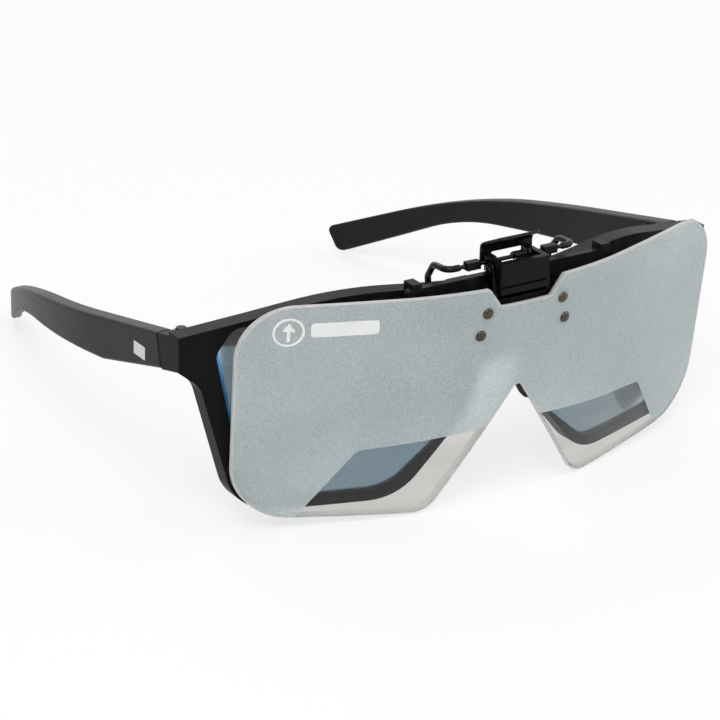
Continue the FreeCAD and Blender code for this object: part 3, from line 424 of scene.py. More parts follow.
def hoops(
    spine: np.ndarray, radii: np.ndarray, first: np.ndarray, second: np.ndarray, around: int
) -> np.ndarray:
    """Circles round a spine: each point plus its radius times cosine of one axis and sine of the other.

    Args:
        spine: Rows of x, y, z.
        radii: One radius for each row.
        first: The circles' first axis, one row for each or one for all.
        second: The circles' second axis, likewise.
        around: Points round each circle.

    Returns:
        Rings, as an array of stations by points around by three.
    """
    angles = even_angles(around)
    wheel = np.cos(angles)[:, None] * first[:, None, :] + np.sin(angles)[:, None] * second[:, None, :]
    return spine[:, None, :] + radii[:, None, None] * wheel


def carried_section(path: np.ndarray, radii: np.ndarray, around: int) -> np.ndarray:
    """Round section carried along a path.

    Each ring's two axes are square to the path's direction and to one fixed slanting line that no run of
    the path is parallel to, so the section doesn't turn over.

    Args:
        path: Rows of x, y, z.
        radii: The section's radius at each row.
        around: Points round the section.

    Returns:
        Rings, as an array of stations by points around by three.
    """
    along = unit(np.gradient(path, axis=0))
    slanting_line = np.array([0.37, -0.71, 0.60])
    first = unit(np.cross(along, slanting_line))
    return hoops(path, radii, first, np.cross(along, first), around)


def turned(profile: np.ndarray, centre: np.ndarray, axis: np.ndarray, around: int = 32) -> np.ndarray:
    """Rings of a profile of (height, radius) rows turned about an axis that isn't upright.

    Args:
        profile: Rows of height along the axis and radius.
        centre: Where the height is 0.
        axis: The axis's direction, pointing the way the height grows.
        around: Points round each ring.

    Returns:
        Rings, as an array of stations by points around by three.
    """
    axis = unit(axis)
    first = unit(np.cross(axis, np.array([0.0, 0.0, 1.0])))
    second = np.cross(axis, first)
    return hoops(centre + profile[:, :1] * axis, profile[:, 1], first[None, :], second[None, :], around)


def chamfer_rear(
    mesh: bpy.types.Mesh, loop: np.ndarray, half: float, rounding: float, wall: float, reach: float
) -> None:
    """Slopes the rear edge of a flat sheet inwards.

    A point in the rear rounding moves against the outward normal of the nearest outline point by the reach
    times its share of the rounding's depth, and the rounding's depth is stretched to start behind the wall.

    Args:
        mesh: The flat sheet, with the front face at minus half.
        loop: Its outline.
        half: Half of its thickness.
        rounding: Depth of the rear rounding before the change.
        wall: Depth of the upright wall, from the front face.
        reach: How far the slope comes in.
    """
    points = read_vectors(mesh.vertices, "co")
    nearest = ((points[:, None, :2] - loop[None, :, :]) ** 2).sum(axis=2).argmin(axis=1)
    share = np.clip((points[:, 2] - half + rounding) / rounding, 0.0, 1.0)
    rear = points[:, 2] > half - rounding - SAME_POINT_MM
    points[rear, :2] -= outward_directions(loop)[nearest[rear]] * (reach * share[rear])[:, None]
    points[rear, 2] = wall - half + (2 * half - wall) * share[rear]
    mesh.vertices.foreach_set("co", points.ravel())


def flat_sheet(
    name: str, loops: Sequence[np.ndarray], thickness: float, rounding: float, segments: int
) -> bpy.types.Mesh:
    """Flat sheet with rounded edges, centred on its own middle plane.

    Args:
        name: The piece's name.
        loops: The outer outline and any holes, as rows of across and height.
        thickness: The sheet's thickness.
        rounding: Radius of the edges.
        segments: Steps round an edge.

    Returns:
        The mesh of a filled and bevelled flat curve.
    """
    curve = bpy.data.curves.new(name, "CURVE")
    curve.dimensions = "2D"
    curve.fill_mode = "BOTH"
    curve.extrude = thickness / 2 - rounding
    curve.bevel_depth = rounding
    curve.bevel_resolution = segments - 1
    curve.offset = -rounding
    for loop in loops:
        spline = curve.splines.new("POLY")
        spline.points.add(len(loop) - 1)
        rows = np.column_stack([loop, np.zeros(len(loop)), np.ones(len(loop))])
        spline.points.foreach_set("co", rows.ravel())
        spline.use_cyclic_u = True
    carrier = bpy.data.objects.new(name + "_outline", curve)
    bpy.context.scene.collection.objects.link(carrier)
    graph = bpy.context.evaluated_depsgraph_get()
    mesh = bpy.data.meshes.new_from_object(carrier.evaluated_get(graph))
    bpy.data.objects.remove(carrier)
    bpy.data.curves.remove(curve)
    return mesh


def plate(
    name: str,
    loops: Sequence[np.ndarray],
    place: Placing,
    front: float,
    back: float,
    rounding: float,
    cuts: Sequence[float],
    segments: int = 3,
    sharp: float = 40.0,
    rear_chamfer: Pair = (0.0, 0.0),
) -> bpy.types.Object:
    """Sheet with rounded edges: an outline with holes, given a thickness, then laid on a surface.

    A rear chamfer keeps the wall as far as its first number allows behind the front face.  Behind that the
    edge slopes inwards, square to the nearest stretch of outline, by its second number at the back face.

    Args:
        name: The piece's name.
        loops: The outer outline and any holes, as rows of across and height.
        place: Puts rows of across, height and layer into datum millimetres.
        front: Layer of the front face.
        back: Layer of the back face.
        rounding: Radius of the edges.
        cuts: Where the sheet is divided across, so that it follows the surface.
        segments: Steps round an edge.
        sharp: Edges that turn more than this, in degrees, stay sharp.
        rear_chamfer: Depth of the upright wall and the slope's reach; 0 for none.

    Returns:
        The new object.
    """
    mesh = flat_sheet(name, loops, back - front, rounding, segments)
    if rear_chamfer[1] > 0.0:
        chamfer_rear(mesh, loops[0], (back - front) / 2, rounding, *rear_chamfer)
    sheet = bmesh.new()
    sheet.from_mesh(mesh)
    bmesh.ops.remove_doubles(sheet, verts=sheet.verts, dist=SAME_POINT_MM)
    for x in cuts:
        whole = sheet.verts[:] + sheet.edges[:] + sheet.faces[:]
        bmesh.ops.bisect_plane(
            sheet, geom=whole, dist=SAME_POINT_MM, plane_co=(x, 0, 0), plane_no=(1, 0, 0)
        )
    sheet.to_mesh(mesh)
    sheet.free()
    flat = read_vectors(mesh.vertices, "co")
    flat[:, 2] += (front + back) / 2
    faces = [tuple(face.vertices) for face in mesh.polygons]
    bpy.data.meshes.remove(mesh)
    piece = finish_mesh(name, place(flat), faces, sharp)
    even_shading(piece, weight=50, keep_sharp=True)
    return piece


def softened(node: str, radius: float, segments: int, edge: float) -> bpy.types.Object:
    """Copy of a machined or moulded node whose edges are rounded over.

    Args:
        node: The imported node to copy.
        radius: Radius of the edges, in millimetres.
        segments: Steps round an edge.
        edge: Edges that turn more than this, in degrees, are rounded.

    Returns:
        The new object, named after the node.
    """
    shell = bmesh.new()
    shell.from_mesh(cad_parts[node].data)
    bmesh.ops.remove_doubles(shell, verts=shell.verts, dist=NODE_SAME_POINT_M)
    bmesh.ops.dissolve_limit(shell, angle_limit=FLAT_TURN, verts=shell.verts, edges=shell.edges)
    mesh = bpy.data.meshes.new(node + "_rounded")
    shell.to_mesh(mesh)
    shell.free()
    mesh.shade_smooth()
    piece = link(node + "_rounded", mesh)
    bevel = piece.modifiers.new("rounded_edges", "BEVEL")
    bevel.width = radius * METRES_PER_MM
    bevel.segments = segments
    bevel.limit_method = "ANGLE"
    bevel.angle_limit = math.radians(edge)
    bevel.use_clamp_overlap = True
    even_shading(piece, weight=60, keep_sharp=False)
    return piece


# ---------------------------------------------------------------- shader nodes and shared groups


class Nodes:
    """Short ways to add, set and join the nodes of one tree."""

    def __init__(self, tree: bpy.types.NodeTree) -> None:
        """Keeps the tree."""
        self.tree = tree

    def fill(self, node: bpy.types.Node, inputs: Mapping[str | int, Feed]) -> None:
        """Links a node's inputs to other nodes' sockets, or sets them to plain values.

        Args:
            node: The node.
            inputs: A socket, number, colour or vector for each input, by its name or number.
        """
        for key, value in inputs.items():
            socket = node.inputs[key]
            if isinstance(value, bpy.types.NodeSocket):
                self.tree.links.new(value, socket)
            elif socket.type == "RGBA":
                socket.default_value = (*value, 1.0)
            else:
                socket.default_value = value

    def add(self, kind: str, inputs: Mapping[str | int, Feed], **settings: object) -> bpy.types.Node:
        """Adds a node, sets its properties and fills its inputs.

        Args:
            kind: Blender's name for the node.
            inputs: What goes into its inputs.
            settings: Its properties.

        Returns:
            The node.
        """
        node = self.tree.nodes.new(kind)
        for name, value in settings.items():
            setattr(node, name, value)
        self.fill(node, inputs)
        return node

    def place(self) -> bpy.types.NodeSocket:
        """Object coordinates."""
        return self.add("ShaderNodeTexCoord", {}).outputs["Object"]

    def mapped(self, **turn: Point) -> bpy.types.NodeSocket:
        """Object coordinates, turned and stretched by the Mapping node's inputs."""
        return self.add("ShaderNodeMapping", {"Vector": self.place(), **turn}).outputs["Vector"]

    def noise(
        self, vector: Feed, scale: Feed, detail: float = 2.0, roughness: float = 0.5
    ) -> bpy.types.NodeSocket:
        """Cloudy noise between 0 and 1."""
        inputs = {"Vector": vector, "Scale": scale, "Detail": detail, "Roughness": roughness}
        return self.add("ShaderNodeTexNoise", inputs).outputs["Fac"]

    def cells(self, vector: Feed, scale: Feed) -> bpy.types.NodeSocket:
        """Distance to the nearest of many scattered points."""
        return self.add("ShaderNodeTexVoronoi", {"Vector": vector, "Scale": scale}).outputs["Distance"]

    def work(self, kind: str, first: Feed, second: Feed) -> bpy.types.NodeSocket:
        """One step of arithmetic, named as Blender's Math node names it."""
        return self.add("ShaderNodeMath", {0: first, 1: second}, operation=kind).outputs[0]

    def times(self, first: Feed, second: Feed) -> bpy.types.NodeSocket:
        """Product of two values."""
        return self.work("MULTIPLY", first, second)

    def plus(self, first: Feed, second: Feed) -> bpy.types.NodeSocket:
        """Sum of two values."""
        return self.work("ADD", first, second)

    def ramp(self, value: Feed, low: Pair, high: Pair) -> bpy.types.NodeSocket:
        """Maps a value through two grey stops, straight between them and level outside.

        Args:
            value: The value.
            low: Place and grey of the first stop.
            high: Place and grey of the second stop.

        Returns:
            The grey.
        """
        node = self.add("ShaderNodeValToRGB", {"Fac": value})
        for element, (place, grey) in zip(node.color_ramp.elements, (low, high)):
            element.position = place
            element.color = (grey, grey, grey, 1.0)
        return node.outputs["Color"]

    def blend(self, mask: Feed, low: Feed, high: Feed) -> bpy.types.NodeSocket:
        """Colour that goes from low to high as the mask goes from 0 to 1."""
        return self.add("ShaderNodeMix", {"Factor": mask, 6: low, 7: high}, data_type="RGBA").outputs[2]

    def bump(self, height: Feed, strength: float, depth: float) -> bpy.types.NodeSocket:
        """Normal that follows a height; the depth is in metres."""
        inputs = {"Strength": strength, "Distance": depth, "Height": height}
        return self.add("ShaderNodeBump", inputs).outputs["Normal"]

    def seen(self) -> bpy.types.NodeSocket:
        """1 for rays that come from the camera, a reflection or a clear sheet, and 0 for the rest."""
        rays = self.add("ShaderNodeLightPath", {}).outputs
        direct = self.work("MAXIMUM", rays["Is Camera Ray"], rays["Is Glossy Ray"])
        return self.work("MAXIMUM", direct, rays["Is Transmission Ray"])


def new_group(
    name: str, inputs: Mapping[str, float], outputs: Sequence[str]
) -> tuple[bpy.types.NodeTree, Outputs, bpy.types.Node]:
    """Empty shader group with named sockets.

    Args:
        name: The group's name.
        inputs: Name and starting value of each input.
        outputs: Name of each output.

    Returns:
        The tree, the sockets that bring its inputs, and its output node.
    """
    tree = bpy.data.node_groups.new(name, "ShaderNodeTree")
    for label, start in inputs.items():
        socket = tree.interface.new_socket(name=label, in_out="INPUT", socket_type="NodeSocketFloat")
        socket.default_value = start
    for label in outputs:
        tree.interface.new_socket(name=label, in_out="OUTPUT", socket_type="NodeSocketFloat")
    return tree, tree.nodes.new("NodeGroupInput").outputs, tree.nodes.new("NodeGroupOutput")


def surface_grain_group() -> bpy.types.NodeTree:
    """Fine moulded or blasted grain: a height for bumps, a mottle and a slow drift of shade.

    Returns:
        The group, whose outputs all change over the surface.
    """
    sizes = {"Grain Size": 3000.0, "Drift Size": 60.0}
    tree, given, result = new_group("surface_grain", sizes, ("Height", "Mottle", "Drift"))
    make = Nodes(tree)
    place = make.place()
    fine = make.noise(place, given["Grain Size"], detail=3.0, roughness=0.6)
    cells = make.cells(place, make.times(given["Grain Size"], 0.55))
    slow = make.noise(place, given["Drift Size"])
    changing = {
        "Height": make.plus(fine, make.times(cells, 0.35)),
        "Mottle": make.ramp(fine, (0.34, 0.0), (0.66, 1.0)),
        "Drift": make.ramp(slow, (0.3, 0.0), (0.7, 1.0)),
    }
    make.fill(result, changing)
    return tree


def handling_marks_group() -> bpy.types.NodeTree:
    """Dust specks and faint wiping streaks.

    Returns:
        The group: Dust is 1 on a speck, Streaks is 1 on a streak.
    """
    sizes = {"Speck Size": 900.0, "Streak Size": 90.0}
    tree, given, result = new_group("handling_marks", sizes, ("Dust", "Streaks"))
    make = Nodes(tree)
    place = make.place()
    dots = make.ramp(make.cells(place, given["Speck Size"]), (0.05, 1.0), (0.13, 0.0))
    areas = make.ramp(make.noise(place, 140.0), (0.52, 0.0), (0.66, 1.0))
    wiping = make.mapped(Rotation=(0.2, 0.5, 0.4), Scale=(1.0, 1.0, 9.0))
    streaks = make.noise(wiping, given["Streak Size"], detail=4.0)
    changing = {"Dust": make.times(dots, areas), "Streaks": make.ramp(streaks, (0.45, 0.0), (0.72, 1.0))}
    make.fill(result, changing)
    return tree


class Effects:
    """The shared groups, each built once."""

    def __init__(self) -> None:
        """Builds both groups."""
        self.grain_tree = surface_grain_group()
        self.marks_tree = handling_marks_group()

    def grain(self, make: Nodes, grain: float, drift: float) -> Outputs:
        """Places the grain in a material with its own two sizes, and gives its outputs."""
        sizes = {"Grain Size": grain, "Drift Size": drift}
        return make.add("ShaderNodeGroup", sizes, node_tree=self.grain_tree).outputs

    def marks(self, make: Nodes, speck: float, streak: float) -> Outputs:
        """Places the handling marks in a material with their own two sizes, and gives their outputs."""
        sizes = {"Speck Size": speck, "Streak Size": streak}
        return make.add("ShaderNodeGroup", sizes, node_tree=self.marks_tree).outputs


EFFECTS = Effects()


def new_material(name: str) -> tuple[bpy.types.Material, Nodes, bpy.types.Node]:
    """Material with one Principled shader.

    Args:
        name: The finish's name.

    Returns:
        The material, its node maker and the shader.
    """
    material = bpy.data.materials.new(name)
    material.use_nodes = True
    return material, Nodes(material.node_tree), material.node_tree.nodes["Principled BSDF"]


# ---------------------------------------------------------------- finishes


@dataclass(frozen=True)
class MouldedFinish:
    """Moulded plastic or rubber with a fine grain, slow shade changes and a little dust."""

    name: str
    base: Colour
    worn: Colour
    roughness: float
    roughness_spread: float
    grain: float = 3000.0
    bump: float = 0.25
    dust: float = 0.25
    coat: float = 0.0
    specular: float = 0.3
    drift: float = 70.0
    marks: Pair = (1100.0, 110.0)
    drift_share: float = 0.6
    mottle_share: float = 0.4
    wiped_share: float = 0.5
    dust_colour: Colour = (0.42, 0.42, 0.41)
    coat_roughness: float = 0.25
    bump_depth: float = 0.00004

    def material(self) -> bpy.types.Material:
        """Base colour drifts towards the worn one, and the grain moves the roughness."""
        material, make, shader = new_material(self.name)
        grain = EFFECTS.grain(make, self.grain, self.drift)
        marks = EFFECTS.marks(make, *self.marks)
        drift = make.times(grain["Drift"], self.drift_share)
        shade = make.plus(drift, make.times(grain["Mottle"], self.mottle_share))
        speck = make.times(marks["Dust"], self.dust)
        spread = make.times(grain["Mottle"], self.roughness_spread)
        wiped = make.times(marks["Streaks"], -self.roughness_spread * self.wiped_share)
        surface = {
            "Base Color": make.blend(speck, make.blend(shade, self.base, self.worn), self.dust_colour),
            "Roughness": make.plus(make.plus(spread, wiped), self.roughness),
            "Specular IOR Level": self.specular,
            "Coat Weight": self.coat,
            "Coat Roughness": self.coat_roughness,
            "Normal": make.bump(grain["Height"], self.bump, self.bump_depth),
        }
        make.fill(shader, surface)
        return material


@dataclass(frozen=True)
class MetalFinish:
    """Worked metal: bare, plated or blackened, with fine scratches across its grain."""

    name: str
    base: Colour
    worn: Colour
    roughness: float
    roughness_spread: float
    metallic: float = 1.0
    stretch: Point = (1.0, 1.0, 1.0)
    grain: float = 4000.0
    drift: float = 220.0
    marks: Pair = (1500.0, 260.0)
    brushing: float = 1600.0
    drift_share: float = 0.55
    streak_share: float = 0.3
    grain_share: float = 0.4
    bump: float = 0.15
    bump_depth: float = 0.00002

    def material(self) -> bpy.types.Material:
        """Grain and streaks drive the tint and roughness; the stretched noise is the brushing."""
        material, make, shader = new_material(self.name)
        grain = EFFECTS.grain(make, self.grain, self.drift)
        marks = EFFECTS.marks(make, *self.marks)
        brushing = make.noise(make.mapped(Scale=self.stretch), self.brushing)
        drift = make.times(grain["Drift"], self.drift_share)
        shade = make.plus(drift, make.times(marks["Streaks"], self.streak_share))
        height = make.plus(brushing, make.times(grain["Height"], self.grain_share))
        surface = {
            "Base Color": make.blend(shade, self.base, self.worn),
            "Roughness": make.plus(make.times(brushing, self.roughness_spread), self.roughness),
            "Metallic": self.metallic,
            "Normal": make.bump(height, self.bump, self.bump_depth),
        }
        make.fill(shader, surface)
        return material


@dataclass(frozen=True)
class MirrorTintFinish:
    """Mirror-coated lens: steel blue, teal towards the nose and grey-brown along the top; the outer tint is
    partly painted reflection.
    """

    name: str = "mirror_tint"
    edge: Colour = (0.04, 0.26, 0.62)
    # The coating's outer tint, lightened as painted reflection to make up for the darker surroundings that
    # part reflects.
    outer: Colour = (0.42, 0.56, 0.64)
    inner: Colour = (0.34, 0.53, 0.71)
    top: Colour = (0.22, 0.19, 0.18)
    side_reach: float = 0.068
    side_ramp: Pair = (0.30, 0.92)
    top_reach: float = 0.06
    top_ramp: Pair = (0.720, 0.735)
    rim_slope: float = 0.1885
    rim_reach: float = 0.0592
    rim_share: float = 0.9
    rim_ramp: Pair = (0.879, 0.886)
    grain: float = 900.0
    drift: float = 38.0
    drift_share: float = 0.16
    marks: Pair = (800.0, 60.0)
    metallic: float = 0.85
    roughness: float = 0.16
    wiped_roughness: float = 0.08
    coat: float = 0.6
    coat_roughness: float = 0.03

    def material(self) -> bpy.types.Material:
        """Ramps on Object x and z set the tint; slow noise breaks up the coating.

        The temporal rim leans, so its blue line follows the distance across less the slope times z.
        """
        material, make, shader = new_material(self.name)
        place = make.add("ShaderNodeSeparateXYZ", {0: make.place()}).outputs
        grain = EFFECTS.grain(make, self.grain, self.drift)
        marks = EFFECTS.marks(make, *self.marks)
        plain = make.work("ABSOLUTE", place["X"], 0.0)
        drift = make.times(grain["Drift"], self.drift_share)
        across = make.plus(make.times(plain, 1 / self.side_reach), drift)
        lean = make.work("SUBTRACT", plain, make.times(place["Z"], self.rim_slope))

        def mask(value: Feed, span: Pair) -> bpy.types.NodeSocket:
            """0 before the span, 1 after it."""
            return make.ramp(value, (span[0], 0.0), (span[1], 1.0))

        side = make.blend(mask(across, self.side_ramp), self.inner, self.outer)
        rim = mask(make.times(lean, self.rim_share / self.rim_reach), self.rim_ramp)
        tint = make.blend(rim, side, self.edge)
        upper = mask(make.times(place["Z"], 1 / self.top_reach), self.top_ramp)
        surface = {
            "Base Color": make.blend(upper, tint, self.top),
            "Roughness": make.plus(make.times(marks["Streaks"], self.wiped_roughness), self.roughness),
            "Metallic": self.metallic,
            "Coat Weight": self.coat,
            "Coat Roughness": self.coat_roughness,
        }
        make.fill(shader, surface)
        return material


@dataclass(frozen=True)
class ClearSheetFinish:
    """Clear cast sheet with a faint smoky tint and fine wiping marks."""

    name: str = "clear_sheet"
    tint: Colour = (0.70, 0.685, 0.665)
    smudge: Colour = (0.64, 0.625, 0.605)
    marks: Pair = (500.0, 45.0)
    roughness: float = 0.03
    wiped_roughness: float = 0.05
    refraction: float = 1.35

    def material(self) -> bpy.types.Material:
        """Streaks roughen and dull the glass where it has been wiped."""
        material, make, shader = new_material(self.name)
        streaks = EFFECTS.marks(make, *self.marks)["Streaks"]
        surface = {
            "Base Color": make.blend(streaks, self.tint, self.smudge),
            "Roughness": make.plus(make.times(streaks, self.wiped_roughness), self.roughness),
            "Transmission Weight": 1.0,
            "IOR": self.refraction,
        }
        make.fill(shader, surface)
        return material


@dataclass(frozen=True)
class FrostedFilmFinish:
    """Frosted film: milky, fine-grained and half let through, so that what lies behind is a blur."""

    name: str = "frosted_film"
    base: Colour = (0.575, 0.65, 0.67)
    grain_light: Colour = (0.885, 0.93, 0.93)
    roughness: float = 0.50
    transmission: float = 0.62
    grain: float = 2300.0
    drift: float = 45.0
    marks: Pair = (1300.0, 50.0)
    mottle_share: float = 0.8
    drift_share: float = 0.2
    dust: float = 0.6
    dust_colour: Colour = (0.88, 0.89, 0.89)
    roughness_spread: float = 0.12
    refraction: float = 1.25
    bump: float = 0.6
    bump_depth: float = 0.00008

    def material(self) -> bpy.types.Material:
        """Two sizes of speckle set the shade, the roughness and the bumps."""
        material, make, shader = new_material(self.name)
        grain = EFFECTS.grain(make, self.grain, self.drift)
        marks = EFFECTS.marks(make, *self.marks)
        mottle = make.times(grain["Mottle"], self.mottle_share)
        shade = make.plus(mottle, make.times(grain["Drift"], self.drift_share))
        colour = make.blend(shade, self.base, self.grain_light)
        spread = make.times(grain["Mottle"], self.roughness_spread)
        surface = {
            "Base Color": make.blend(make.times(marks["Dust"], self.dust), colour, self.dust_colour),
            "Roughness": make.plus(spread, self.roughness),
            "Transmission Weight": self.transmission,
            "IOR": self.refraction,
            "Normal": make.bump(grain["Height"], self.bump, self.bump_depth),
        }
        make.fill(shader, surface)
        return material


class Finishes:
    """Every finish of the object, made once."""

    def __init__(self) -> None:
        """Builds the materials."""
        # The frame and the temples share one black plastic. The frame's copy has less sheen and a slightly
        # darker base: painted shade that keeps its top and front dark.
        self.frame = MouldedFinish(
            "black_frame_plastic_shaded_copy", (0.0035, 0.0035, 0.0040), (0.0080, 0.0076, 0.0074), 0.38, 0.08,
            grain=2600.0, bump=0.2, dust=0.12, specular=0.08,
        ).material()
        self.temple = MouldedFinish(
            "satin_black_temple", (0.0040, 0.0039, 0.0040), (0.0090, 0.0082, 0.0078), 0.36, 0.08,
            grain=2600.0, bump=0.2, dust=0.12, specular=0.17,
        ).material()
        self.moulding = MouldedFinish(
            "satin_black_moulding", (0.0035, 0.0035, 0.0040), (0.0075, 0.0072, 0.0070), 0.26, 0.12,
            grain=3400.0, bump=0.2, dust=0.2, specular=0.09,
        ).material()
        self.rubber = MouldedFinish(
            "soft_black_rubber", (0.005, 0.005, 0.005), (0.011, 0.011, 0.011), 0.60, 0.2,
            grain=2200.0, dust=0.3, specular=0.18,
        ).material()
        self.gloss_sleeve = MouldedFinish(
            "glossy_black_sleeve", (0.003, 0.003, 0.0035), (0.006, 0.006, 0.006), 0.15, 0.1,
            bump=0.08, coat=0.04, specular=0.14,
        ).material()
        self.sheet = MetalFinish(
            "blackened_sheet", (0.006, 0.0055, 0.005), (0.024, 0.019, 0.015), 0.20, 0.2,
            metallic=0.7, stretch=(0.15, 1.0, 1.0),
        ).material()
        self.spring_steel = MetalFinish(
            "dark_spring_steel", (0.012, 0.011, 0.0105), (0.052, 0.043, 0.036), 0.20, 0.2,
            stretch=(1.0, 1.0, 0.15),
        ).material()
        self.nickel = MetalFinish(
            "dark_nickel_rivet", (0.050, 0.043, 0.036), (0.15, 0.118, 0.090), 0.12, 0.12,
        ).material()
        self.hinge = MetalFinish(
            "hinge_steel", (0.016, 0.0155, 0.015), (0.045, 0.043, 0.041), 0.30, 0.2,
            stretch=(1.0, 0.2, 1.0),
        ).material()
        self.inlay = MetalFinish(
            "brushed_silver_inlay", (0.55, 0.55, 0.54), (0.75, 0.75, 0.74), 0.22, 0.2,
            stretch=(1.0, 0.12, 1.0),
        ).material()
        self.mirror = MirrorTintFinish().material()
        self.lens_back = MouldedFinish(
            "smoke_lens_back", (0.020, 0.017, 0.015), (0.034, 0.028, 0.024), 0.07, 0.04,
            grain=900.0, bump=0.02, dust=0.05, coat=0.3, specular=0.4,
        ).material()
        self.clear = ClearSheetFinish().material()
        self.frosted = FrostedFilmFinish().material()
        # Pale frosted finish of the sheet's rim faces, and also of the painted edge highlight ring on the
        # front.
        self.sawn_edge_and_painted_highlight = FrostedFilmFinish(
            "frosted_sheet_edge_and_painted_highlight", (0.74, 0.75, 0.74), (0.88, 0.89, 0.88), transmission=0.45,
        ).material()
        self.ink = MouldedFinish(
            "white_printed_ink", (0.74, 0.745, 0.745), (0.84, 0.845, 0.845), 0.55, 0.15,
            grain=2600.0, bump=0.1, dust=0.0,
        ).material()


FINISHES = Finishes()


def dress(
    piece: bpy.types.Object, material: bpy.types.Material, body: Body, slot: Slot, *replaced: str
) -> None:
    """Gives a new piece its finish, its body and the nodes it stands for, and logs it.

    Args:
        piece: The new object.
        material: Its finish.
        body: The body it rides on.
        slot: The record's material slot; not used.
        replaced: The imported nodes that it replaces.
    """
    piece.data.materials.clear()
    piece.data.materials.append(material)
    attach(piece, body.value)
    if replaced:
        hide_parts(*replaced)
    LOG.info("%s rides on %s, for %s", piece.name, body.value, ", ".join(replaced) or "itself")


def dress_softened(
    node: str,
    radius: float,
    material: bpy.types.Material,
    body: Body,
    slot: Slot,
    segments: int = 3,
    edge: float = 35.0,
) -> None:
    """Puts a dressed copy of a node, with its edges rounded over, in the node's place.

    Args:
        node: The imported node.
        radius: Radius of the edges, in millimetres.
        material: The copy's finish.
        body: The body it rides on.
        slot: The record's material slot.
        segments: Steps round an edge.
        edge: Edges that turn more than this, in degrees, are rounded.
    """
    dress(softened(node, radius, segments, edge), material, body, slot, node)


# ---------------------------------------------------------------- flip lens


